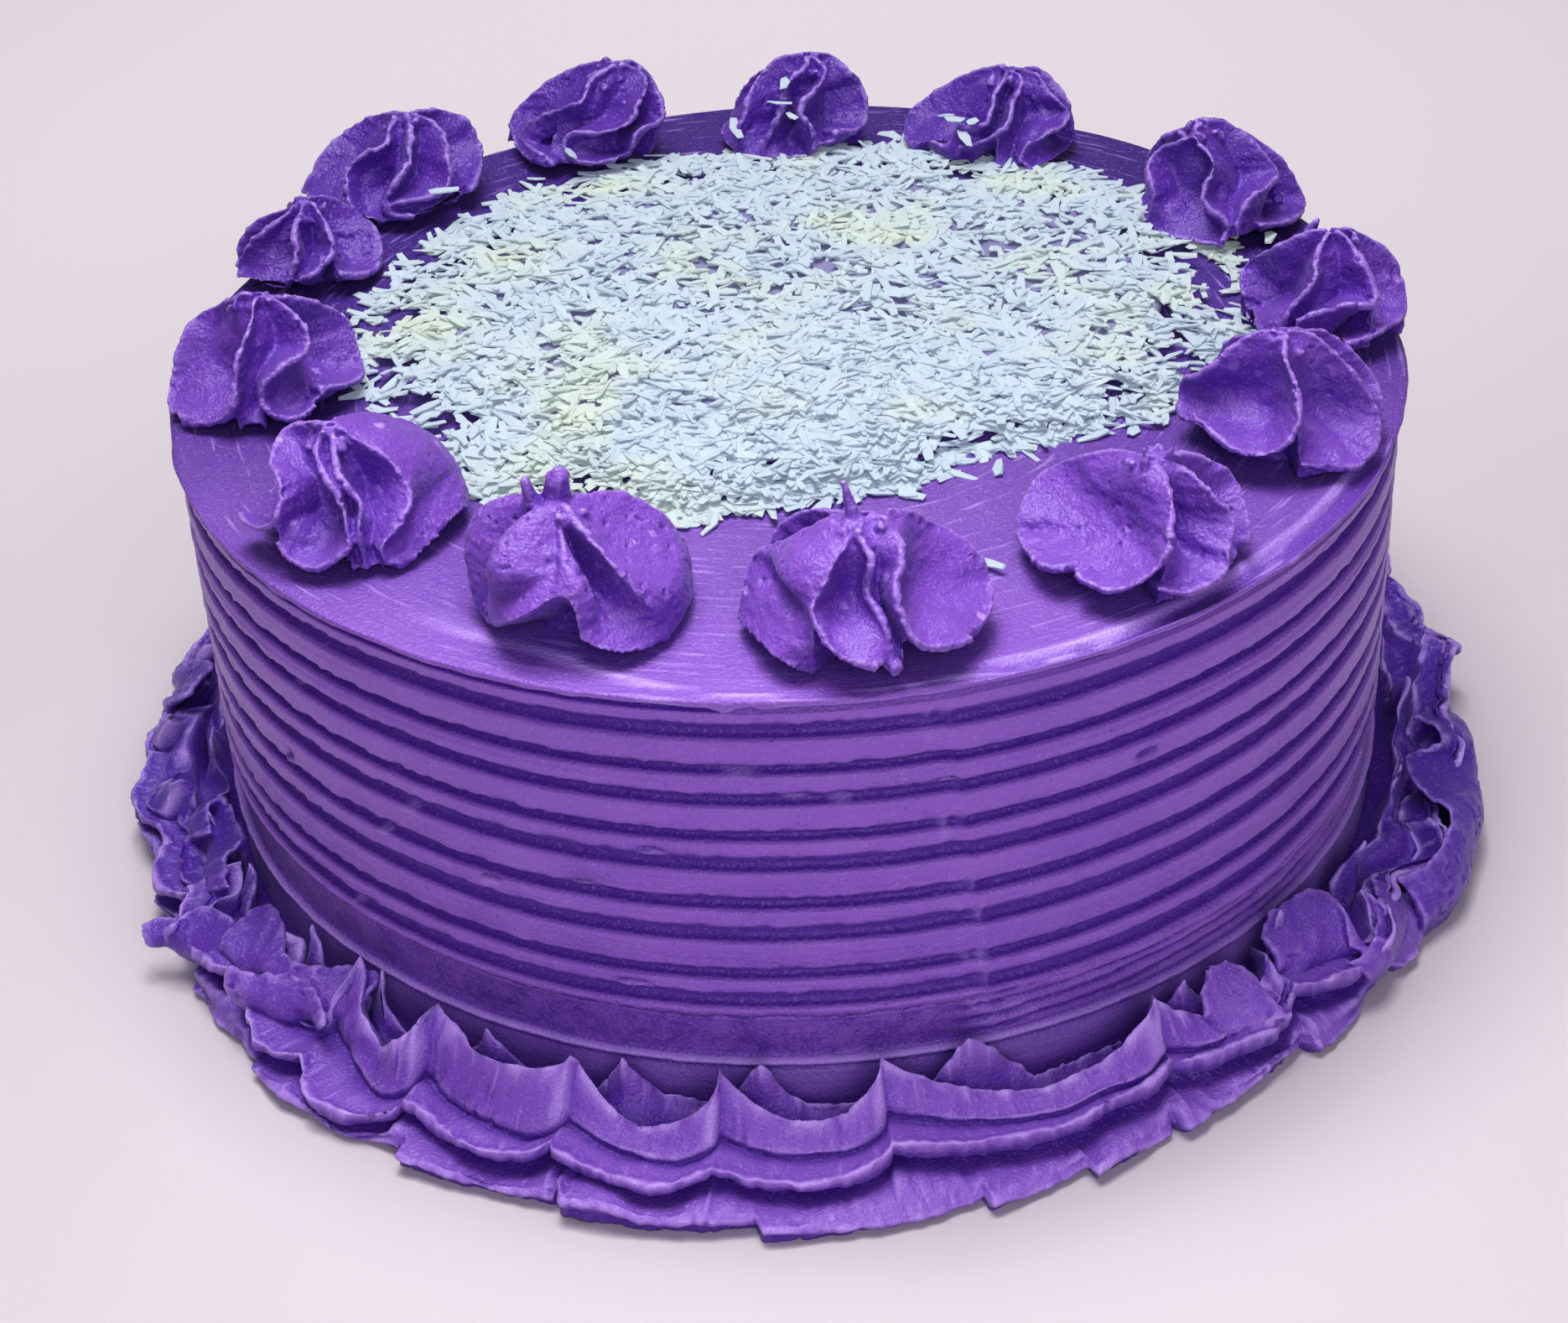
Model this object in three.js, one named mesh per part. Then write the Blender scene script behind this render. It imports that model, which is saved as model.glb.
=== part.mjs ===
import * as THREE from "three";

// A round frosted cake: a solid body with a combed side, a ruffled border piped round its foot,
// rosettes piped along the rim of the top, and a low heap of shredded coconut between them.
// Millimetres, +Z up. The origin is the centre of the cake's foot, on the surface it stands on.

// Driving dimensions.
const CAKE_HEIGHT = 80; // the flat top of the frosting above the foot
const WALL_RADIUS = 101; // the crowns of the combed ridges
const RIM_RADIUS = 102.4; // the frosting pushed out where top and side meet
const RIM_ROUNDING = 2.2;
const CONTACT_GAP = 0.3; // kept between pieces that rest on each other

// The combed side: grooves at alternating wide and narrow spacings, down to a smooth band.
const FIRST_GROOVE_HEIGHT = 73.9;
const GROOVE_SPACINGS = [6.9, 5.5];
const GROOVE_COUNT = 9;
const GROOVE_DEPTH = 2.0;
const GROOVE_HALF_WIDTH = 1.1;
const CROWN_SWELL = 0.35; // a ridge is fullest halfway between two grooves
const SMOOTH_BAND_RADIUS = 99.9;
const SMOOTH_BAND_TOP = 22.3;
const LEDGE_HEIGHT = 11.4; // the thicker frosting left below the comb
const LEDGE_RADIUS = 101.3;
const BODY_SEGMENTS = 44;

// The border: shells piped end to end, each with three fins round a core.
const SHELL_COUNT = 32;
const STATIONS_PER_SHELL = 4;
const BORDER_INNER_RADIUS = 102;
const BORDER_SPREAD = 0.035; // the ruffle runs wider towards the front
const BORDER_FRONT = THREE.MathUtils.degToRad(-110);
const SHELL_LEAN = 0.22; // how far each fin's edge lags behind the one above it, in shells

// The rosettes: a twisted star of fins on a wide foot.
const ROSETTE_CREASE = 0.56; // depth of the crease between two fins, as a share of their reach
const ROSETTE_TWIST = 1.15; // the fins' turn from foot to peak, in fins

// The coconut heap.
const HEAP_CENTRE = new THREE.Vector2(1.5, 11);
const HEAP_RADIUS = 67;
const HEAP_HEIGHT = 6.5;
const HEAP_SIDES = 48;
const HEAP_CLEARANCE = 1.3; // kept to the feet of the rosettes

// Each rosette by its bearing from +X, its distance from the axis, its foot's radius, its
// height, its number of fins, and the bearing of its first fin.
const ROSETTES = [
  { bearing: -112.7, distance: 82.8, foot: 16.2, height: 19.2, fins: 5, start: 20 },
  { bearing: -83.5, distance: 84.6, foot: 17.2, height: 19.6, fins: 6, start: 65 },
  { bearing: -54.2, distance: 84.6, foot: 16.2, height: 17.2, fins: 5, start: 10 },
  { bearing: -25.1, distance: 85.0, foot: 15.4, height: 20.0, fins: 5, start: 40 },
  { bearing: 0.0, distance: 87.0, foot: 13.6, height: 18.6, fins: 6, start: 5 },
  { bearing: 28.9, distance: 87.2, foot: 14.4, height: 19.0, fins: 6, start: 50 },
  { bearing: 62.5, distance: 86.6, foot: 15.0, height: 16.0, fins: 5, start: 30 },
  { bearing: 88.1, distance: 86.0, foot: 14.4, height: 17.6, fins: 6, start: 70 },
  { bearing: 112.4, distance: 87.6, foot: 14.6, height: 17.4, fins: 5, start: 15 },
  { bearing: 135.8, distance: 88.6, foot: 14.8, height: 16.4, fins: 6, start: 55 },
  { bearing: 156.5, distance: 88.6, foot: 12.6, height: 14.0, fins: 6, start: 25 },
  { bearing: -176.5, distance: 86.0, foot: 15.2, height: 18.6, fins: 5, start: 0 },
  { bearing: -143.6, distance: 83.7, foot: 16.4, height: 18.4, fins: 6, start: 45 },
];

const FROSTING = { color: "#6a35b4", roughness: 0.55, metalness: 0 };
const COCONUT = { color: "#dfe4ea", roughness: 0.85, metalness: 0 };

// A closed skin over a list of points, from triangles that index them.
function skin(points, triangles) {
  const geometry = new THREE.BufferGeometry();
  geometry.setFromPoints(points);
  geometry.setIndex(triangles.flat());
  geometry.computeVertexNormals();
  return geometry;
}

// The two triangles of each panel between one ring of points and the next.
function panels(ringStart, nextStart, count) {
  const triangles = [];
  for (let i = 0; i < count; i += 1) {
    const j = (i + 1) % count;
    triangles.push([ringStart + i, ringStart + j, nextStart + j]);
    triangles.push([ringStart + i, nextStart + j, nextStart + i]);
  }
  return triangles;
}

// A solid whose skin runs up through rings of points, from a flat foot to a single peak.
function moundSolid(rings, peak) {
  const count = rings[0].length;
  const foot = rings[0]
    .reduce((sum, point) => sum.add(point), new THREE.Vector3())
    .divideScalar(count);
  const points = [...rings.flat(), foot, peak];
  const footIndex = points.length - 2;
  const peakIndex = points.length - 1;
  const lastRing = (rings.length - 1) * count;
  const triangles = [];
  rings.slice(1).forEach((_, level) => {
    triangles.push(...panels(level * count, (level + 1) * count, count));
  });
  for (let i = 0; i < count; i += 1) {
    const j = (i + 1) % count;
    triangles.push([footIndex, j, i]);
    triangles.push([lastRing + i, lastRing + j, peakIndex]);
  }
  return skin(points, triangles);
}

// A solid whose section runs once round the cake and meets itself.
function loopedSolid(sections) {
  const count = sections[0].length;
  const triangles = [];
  sections.forEach((_, station) => {
    const next = (station + 1) % sections.length;
    triangles.push(...panels(station * count, next * count, count));
  });
  return skin(sections.flat(), triangles);
}

function polar(radius, angle, height) {
  return new THREE.Vector3(radius * Math.cos(angle), radius * Math.sin(angle), height);
}

function piece(name, geometry, finish) {
  const mesh = new THREE.Mesh(geometry, new THREE.MeshStandardMaterial(finish));
  mesh.name = name;
  return mesh;
}

// Heights of the grooves, from the rim down.
function grooveHeights() {
  const heights = [FIRST_GROOVE_HEIGHT];
  for (let i = 1; i < GROOVE_COUNT; i += 1) {
    heights.push(heights[i - 1] - GROOVE_SPACINGS[(i - 1) % GROOVE_SPACINGS.length]);
  }
  return heights;
}

// Half the body's section: foot, ledge, smooth band, combed ridges, rounded rim, flat top.
function bodyProfile() {
  const outline = [
    [0, 0],
    [LEDGE_RADIUS, 0],
    [LEDGE_RADIUS, LEDGE_HEIGHT - 0.8],
    [SMOOTH_BAND_RADIUS, LEDGE_HEIGHT],
    [SMOOTH_BAND_RADIUS, SMOOTH_BAND_TOP],
  ];
  const grooves = grooveHeights().reverse();
  grooves.forEach((height, i) => {
    const above = grooves[i + 1] ?? CAKE_HEIGHT - RIM_ROUNDING;
    if (i > 0) {
      outline.push([WALL_RADIUS, height - GROOVE_HALF_WIDTH]);
    }
    outline.push([WALL_RADIUS - GROOVE_DEPTH, height]);
    outline.push([WALL_RADIUS, height + GROOVE_HALF_WIDTH]);
    outline.push([WALL_RADIUS + CROWN_SWELL, (height + above) / 2]);
  });
  outline.push([RIM_RADIUS, CAKE_HEIGHT - RIM_ROUNDING]);
  outline.push([RIM_RADIUS - RIM_ROUNDING / 3, CAKE_HEIGHT - RIM_ROUNDING / 3]);
  outline.push([RIM_RADIUS - RIM_ROUNDING, CAKE_HEIGHT]);
  outline.push([0, CAKE_HEIGHT]);
  return outline.map(([radius, height]) => new THREE.Vector2(radius, height));
}

function cakeBody() {
  const geometry = new THREE.LatheGeometry(bodyProfile(), BODY_SEGMENTS);
  geometry.rotateX(Math.PI / 2);
  return piece("cake_body", geometry, FROSTING);
}

// One section of the border, at a bearing and at a phase from 0 to 1 along its shell. A fin's
// edge swells and lifts over the shell, and drops back where the next shell starts over it.
function borderSection(bearing, phase) {
  const swell = (lag) => 0.5 - 0.5 * Math.cos(2 * Math.PI * (phase - lag));
  const upper = swell(0);
  const middle = swell(SHELL_LEAN);
  const lower = swell(2 * SHELL_LEAN);
  const spread = 1 + BORDER_SPREAD * Math.cos(bearing - BORDER_FRONT);
  const outline = [
    [0, 0],
    [18.5 + 3 * lower, 0],
    [20 + 4 * lower, 3.4 + 1.4 * lower],
    [14.5, 6.4],
    [14.8 + 3.2 * middle, 10 + 3 * middle],
    [10.6, 10.4],
    [8.2 + 1.4 * upper, 13.8 + 4.6 * upper],
    [4.6, 12.5 + 3.5 * upper],
    [1.2, 8.0],
  ];
  return outline.map(([reach, height]) => {
    return polar(BORDER_INNER_RADIUS + reach * spread, bearing, height);
  });
}

function baseBorder() {
  const sections = [];
  const stations = SHELL_COUNT * STATIONS_PER_SHELL;
  for (let i = 0; i < stations; i += 1) {
    const phase = (i % STATIONS_PER_SHELL) / STATIONS_PER_SHELL;
    sections.push(borderSection((i / stations) * 2 * Math.PI, phase).reverse());
  }
  return piece("base_border", loopedSolid(sections), FROSTING);
}

// A rosette about its own axis. Going up, the star of fins first widens into petal lips, then
// draws in to the peak while it turns, so that each fin's edge runs down in an S.
function rosetteGeometry({ foot, height, fins, start }) {
  const levels = [
    { rise: 0, reach: 0.9, turn: 0 },
    { rise: 0.12, reach: 1, turn: 0.05 },
    { rise: 0.32, reach: 0.95, turn: 0.25 },
    { rise: 0.56, reach: 0.8, turn: 0.5 },
    { rise: 0.78, reach: 0.58, turn: 0.75 },
    { rise: 0.93, reach: 0.3, turn: 0.92 },
  ];
  const star = [
    { along: 0, reach: ROSETTE_CREASE },
    { along: 0.42, reach: 0.93 },
    { along: 0.78, reach: 1 },
  ];
  const firstFin = THREE.MathUtils.degToRad(start);
  const rings = levels.map((level) => {
    const ring = [];
    for (let fin = 0; fin < fins; fin += 1) {
      star.forEach(({ along, reach }) => {
        const turns = (fin + along + ROSETTE_TWIST * level.turn) / fins;
        const angle = firstFin + 2 * Math.PI * turns;
        ring.push(polar(foot * reach * level.reach, angle, height * level.rise));
      });
    }
    return ring;
  });
  return moundSolid(rings, new THREE.Vector3(0, 0, height));
}

function rosetteCentre({ bearing, distance }) {
  return polar(distance, THREE.MathUtils.degToRad(bearing), CAKE_HEIGHT + CONTACT_GAP);
}

function rosette(spec, index) {
  const name = `rosette_${String(index + 1).padStart(2, "0")}`;
  const mesh = piece(name, rosetteGeometry(spec), FROSTING);
  mesh.position.copy(rosetteCentre(spec));
  return mesh;
}

// Distance from the heap's centre to its uneven edge, stopping short of the rosettes' feet.
function heapReach(angle) {
  const direction = new THREE.Vector2(Math.cos(angle), Math.sin(angle));
  const unevenness = 0.035 * Math.sin(3 * angle + 0.6) + 0.02 * Math.sin(8 * angle);
  let reach = HEAP_RADIUS * (1 + unevenness);
  ROSETTES.forEach((spec) => {
    const centre = rosetteCentre(spec);
    const toFoot = new THREE.Vector2(centre.x, centre.y).sub(HEAP_CENTRE);
    const along = toFoot.dot(direction);
    const aside = Math.abs(toFoot.cross(direction));
    const keepOut = spec.foot + HEAP_CLEARANCE;
    if (along > 0 && aside < keepOut) {
      reach = Math.min(reach, along - Math.sqrt(keepOut ** 2 - aside ** 2));
    }
  });
  return reach;
}

function coconutHeap() {
  const slope = [
    { share: 1, rise: 0 },
    { share: 0.985, rise: 0.2 },
    { share: 0.88, rise: 0.58 },
    { share: 0.62, rise: 0.86 },
    { share: 0.32, rise: 0.97 },
  ];
  const base = CAKE_HEIGHT + CONTACT_GAP;
  const rings = slope.map(({ share, rise }) => {
    const ring = [];
    for (let i = 0; i < HEAP_SIDES; i += 1) {
      const angle = (i / HEAP_SIDES) * 2 * Math.PI;
      const reach = share * heapReach(angle);
      const bump = rise * (1 - rise) * Math.sin(5 * angle + 9 * share);
      ring.push(polar(reach, angle, base + HEAP_HEIGHT * (rise + 0.4 * bump)));
    }
    return ring;
  });
  const centre = new THREE.Vector3(HEAP_CENTRE.x, HEAP_CENTRE.y, 0);
  rings.flat().forEach((point) => point.add(centre));
  const peak = centre.clone().setZ(base + HEAP_HEIGHT);
  return piece("coconut_heap", moundSolid(rings, peak), COCONUT);
}

const cake = new THREE.Group();
cake.name = "chantilly_cake";
cake.add(cakeBody(), baseBorder(), coconutHeap(), ...ROSETTES.map(rosette));

export default cake;
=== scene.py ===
"""A chantilly cake: a combed round of violet whipped frosting, with a ruffled border, rosettes and coconut.

Sizes are in millimetres in the cake's own frame: the origin is the centre of its foot and +Z is up.
Meshes are turned to metres where they are made. Bearings are degrees from +X towards +Y.
"""

import logging
import math
from dataclasses import dataclass, field
from enum import Enum

import bpy
import numpy as np
from mathutils import Matrix, Vector

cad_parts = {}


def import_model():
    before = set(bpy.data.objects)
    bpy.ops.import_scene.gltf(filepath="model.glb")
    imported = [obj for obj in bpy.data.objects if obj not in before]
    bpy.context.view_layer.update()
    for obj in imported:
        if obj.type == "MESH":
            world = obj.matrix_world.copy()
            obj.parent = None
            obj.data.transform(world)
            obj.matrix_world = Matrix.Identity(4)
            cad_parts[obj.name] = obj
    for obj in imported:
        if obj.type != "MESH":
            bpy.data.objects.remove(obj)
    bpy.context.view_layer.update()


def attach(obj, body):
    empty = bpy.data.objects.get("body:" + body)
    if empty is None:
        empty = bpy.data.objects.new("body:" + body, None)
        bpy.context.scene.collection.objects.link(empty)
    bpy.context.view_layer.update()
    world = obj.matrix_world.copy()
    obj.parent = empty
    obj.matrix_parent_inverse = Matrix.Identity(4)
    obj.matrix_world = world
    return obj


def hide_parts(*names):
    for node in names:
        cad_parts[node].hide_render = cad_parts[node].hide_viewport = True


LOG = logging.getLogger("cake")

MM = 0.001
TOP = 80.0  # height of the flat top of the frosting
TURN = 360.0
FAT_IOR = 1.45  # how far the fat of cream and of coconut bends light


class Slot(Enum):
    """Names of the finish slots."""

    WALL = "frosting_wall"
    PIPED = "frosting_piped"
    COCONUT = "coconut"


# ---------------------------------------------------------------------------------------------
# Colours, noise and meshes
# ---------------------------------------------------------------------------------------------


def linear(hex_colour: str) -> tuple[float, float, float, float]:
    """An sRGB hex colour as linear RGBA.

    Args:
        hex_colour: Six hex digits with a leading hash.

    Returns:
        Linear red, green, blue and an alpha of one.
    """
    parts = [int(hex_colour[i : i + 2], 16) / 255 for i in (1, 3, 5)]
    red, green, blue = (p / 12.92 if p <= 0.04045 else ((p + 0.055) / 1.055) ** 2.4 for p in parts)
    return (red, green, blue, 1.0)


def smooth(x: np.ndarray) -> np.ndarray:
    """A smooth step of values clipped to 0..1."""
    x = np.clip(x, 0.0, 1.0)
    return x * x * (3 - 2 * x)


@dataclass(frozen=True)
class Grain:
    """Seeded smooth noise over space, for unevenness that a hand or a whisk leaves."""

    seed: int = 1
    table_size: int = 4096

    def _lookup(self, cell: np.ndarray) -> np.ndarray:
        """Random values in -1..1 for whole-number cells of shape (..., 3)."""
        table = np.random.default_rng(self.seed).uniform(-1, 1, self.table_size)
        mixed = cell[..., 0] * 73856093 ^ cell[..., 1] * 19349663 ^ cell[..., 2] * 83492791
        return table[mixed & (self.table_size - 1)]

    def at(self, points: np.ndarray, size: float | tuple[float, float, float]) -> np.ndarray:
        """Noise at points.

        Args:
            points: Positions of shape (..., 3).
            size: Width of one bump, along every axis or each.

        Returns:
            Values in about -1..1 of shape (...).
        """
        scaled = points / np.asarray(size, dtype=float) + 1000.0
        cell = np.floor(scaled).astype(np.int64)
        part = scaled - cell
        part = part * part * (3 - 2 * part)
        total = np.zeros(points.shape[:-1])
        for corner in range(8):
            step = np.array([corner & 1, corner >> 1 & 1, corner >> 2])
            weight = np.where(step, part, 1 - part).prod(axis=-1)
            total += weight * self._lookup(cell + step)
        return total

    def torn(self, points: np.ndarray) -> np.ndarray:
        """Shifts along each axis that leave a torn edge at points of shape (..., 3)."""
        return np.stack([self.rough(points + 9.0 * k, 1.7, 2) for k in range(3)], axis=-1)

    def rough(
        self, points: np.ndarray, size: float | tuple[float, float, float], octaves: int = 3
    ) -> np.ndarray:
        """Noise with finer noise laid over it.

        Args:
            points: Positions of shape (..., 3).
            size: Width of the largest bumps.
            octaves: How many layers, each half the size and strength of the one before.

        Returns:
            Values in about -1..1 of shape (...).
        """
        total = np.zeros(points.shape[:-1])
        for layer in range(octaves):
            total += self.at(points + 37.7 * layer, np.asarray(size, dtype=float) / 2**layer) / 2**layer
        return total / (2 - 0.5 ** (octaves - 1))


def polar(bearing: np.ndarray | float, reach: np.ndarray | float, height: np.ndarray | float) -> np.ndarray:
    """Points from bearings in degrees, distances from the axis and heights."""
    angle = np.radians(bearing)
    return np.stack(np.broadcast_arrays(reach * np.cos(angle), reach * np.sin(angle), height), axis=-1)


def ring_faces(rows: int, columns: int, closed: bool = True) -> np.ndarray:
    """Quads of a grid of rows by columns.

    Args:
        rows: Points down the grid.
        columns: Points across the grid, stored side by side.
        closed: Whether the last column joins the first.

    Returns:
        Point numbers of shape (faces, 4).
    """
    across = np.arange(columns if closed else columns - 1)
    down = np.arange(rows - 1)[:, None]
    after = (across + 1) % columns
    a, b = down * columns + across, down * columns + after
    return np.stack([a, b, b + columns, a + columns], axis=-1).reshape(-1, 4)


def end_fans(last: int, columns: int, middle: int) -> list[list[int]]:
    """Triangles that close both ends of a stack of rings.

    Args:
        last: Number of the last ring's first point.
        columns: Points in each ring.
        middle: Number of the last ring's middle point; the first ring's comes after it.

    Returns:
        Point numbers of each triangle.
    """
    faces = []
    for k in range(columns):
        after = (k + 1) % columns
        faces.append([last + k, last + after, middle])
        faces.append([after, k, middle + 1])
    return faces


def joined(parts: list[tuple[np.ndarray, np.ndarray]]) -> tuple[np.ndarray, list[list[int]]]:
    """Puts shells together into one cloud.

    Args:
        parts: Points and quads of each shell.

    Returns:
        All points, and each face's point numbers without repeats.
    """
    starts = np.cumsum([0, *(len(points) for points, _ in parts)])
    quads = np.concatenate([faces + start for (_, faces), start in zip(parts, starts)]).tolist()
    return np.concatenate([points for points, _ in parts]), [list(dict.fromkeys(quad)) for quad in quads]


def make_mesh(name: str, points: np.ndarray, faces: list | np.ndarray) -> bpy.types.Object:
    """An object of a mesh given in millimetres.

    Args:
        name: The object's name.
        points: Positions of shape (n, 3).
        faces: Point numbers of each face.

    Returns:
        The object, in metres, linked to the scene.
    """
    mesh = bpy.data.meshes.new(name)
    corners = faces.tolist() if isinstance(faces, np.ndarray) else faces
    mesh.from_pydata((np.asarray(points) * MM).tolist(), [], corners)
    mesh.update()
    mesh.shade_smooth()
    piece = bpy.data.objects.new(name, mesh)
    bpy.context.scene.collection.objects.link(piece)
    return piece


def mark(piece: bpy.types.Object, name: str, values: np.ndarray) -> None:
    """Stores three numbers at each point of a piece, for its finish to read."""
    piece.data.attributes.new(name, "FLOAT_VECTOR", "POINT").data.foreach_set("vector", values.ravel())


def settle(piece: bpy.types.Object, steps: list[tuple[str, dict]]) -> bpy.types.Object:
    """Runs modifiers on a piece and keeps only their result.

    Args:
        piece: The object to change.
        steps: Each modifier's type and settings, in order.

    Returns:
        The same object with the new mesh.
    """
    for kind, settings in steps:
        modifier = piece.modifiers.new(kind, kind)
        for key, value in settings.items():
            setattr(modifier, key, value)
    shaped = bpy.data.meshes.new_from_object(piece.evaluated_get(bpy.context.evaluated_depsgraph_get()))
    before = piece.data
    piece.modifiers.clear()
    piece.data = shaped
    bpy.data.meshes.remove(before)
    return piece


def push(
    piece: bpy.types.Object, grain: Grain, layers: list[tuple[float | tuple, float]], pits: float
) -> None:
    """Pushes a mesh's points along their normals by layers of noise.

    Args:
        piece: The object to roughen.
        grain: The noise.
        layers: Bump size and depth in millimetres of each layer.
        pits: Depth in millimetres of scattered burst bubbles.
    """
    mesh = piece.data
    count = len(mesh.vertices)
    points, normals = np.empty(count * 3), np.empty(count * 3)
    mesh.vertices.foreach_get("co", points)
    mesh.vertex_normals.foreach_get("vector", normals)
    points, normals = points.reshape(-1, 3) / MM, normals.reshape(-1, 3)
    shift = sum(grain.at(points, size) * depth for size, depth in layers)
    burst = smooth((grain.at(points + 500, 1.0) - 0.58) / 0.12)
    shift -= pits * burst * smooth(grain.at(points + 900, 7.0) * 2 + 0.4)
    points += normals * shift[:, None]
    mesh.vertices.foreach_set("co", (points * MM).ravel())
    mesh.update()


def skin_over(piece: bpy.types.Object, voxel: float, smoothing: int) -> None:
    """Turns shells that overlap into one skin.

    Args:
        piece: The object to change.
        voxel: How fine the skin is, in millimetres.
        smoothing: How many times it is smoothed.
    """
    settle(
        piece,
        [
            ("REMESH", {"mode": "VOXEL", "voxel_size": voxel * MM, "adaptivity": 0.0}),
            ("SMOOTH", {"factor": 0.5, "iterations": smoothing}),
        ],
    )


def decimate(piece: bpy.types.Object, triangles: int) -> None:
    """Thins a mesh of quads out to about a number of triangles, and shades it smooth."""
    settle(piece, [("DECIMATE", {"ratio": min(1.0, triangles / (2 * len(piece.data.polygons)))})])
    piece.data.shade_smooth()


def through(points: np.ndarray, count: int) -> np.ndarray:
    """A smooth line through points.

    Args:
        points: Positions of shape (n, d).
        count: How many evenly spaced samples to take.

    Returns:
        Samples of shape (count, d).
    """
    padded = np.concatenate([2 * points[:1] - points[1:2], points, 2 * points[-1:] - points[-2:-1]])
    at = np.linspace(0, len(points) - 1, count)
    start = np.minimum(at.astype(int), len(points) - 2)
    t = (at - start)[:, None]
    a, b, c, d = (padded[start + k] for k in range(4))
    return 0.5 * (2 * b + (c - a) * t + (2 * a - 5 * b + 4 * c - d) * t**2 + (3 * b - a - 3 * c + d) * t**3)


# ---------------------------------------------------------------------------------------------
# Finishes
# ---------------------------------------------------------------------------------------------


def add_node(
    tree: bpy.types.NodeTree, kind: str, inputs: dict | None = None, **settings: object
) -> bpy.types.Node:
    """Adds a node with its settings, values and links.

    Args:
        tree: The material's node tree.
        kind: The node's type.
        inputs: Values, or output sockets to link, by input name or number.
        settings: The node's own properties.

    Returns:
        The node.
    """
    node = tree.nodes.new(kind)
    for key, value in settings.items():
        setattr(node, key, value)
    for key, value in (inputs or {}).items():
        if isinstance(value, bpy.types.NodeSocket):
            tree.links.new(value, node.inputs[key])
        else:
            node.inputs[key].default_value = value
    return node


def blank_material(name: str) -> tuple[bpy.types.Material, bpy.types.NodeTree]:
    """A new material with nothing in it.

    Args:
        name: The material's name.

    Returns:
        The material and its empty node tree.
    """
    made = bpy.data.materials.new(name)
    made.use_nodes = True
    made.node_tree.nodes.clear()
    return made, made.node_tree


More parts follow.
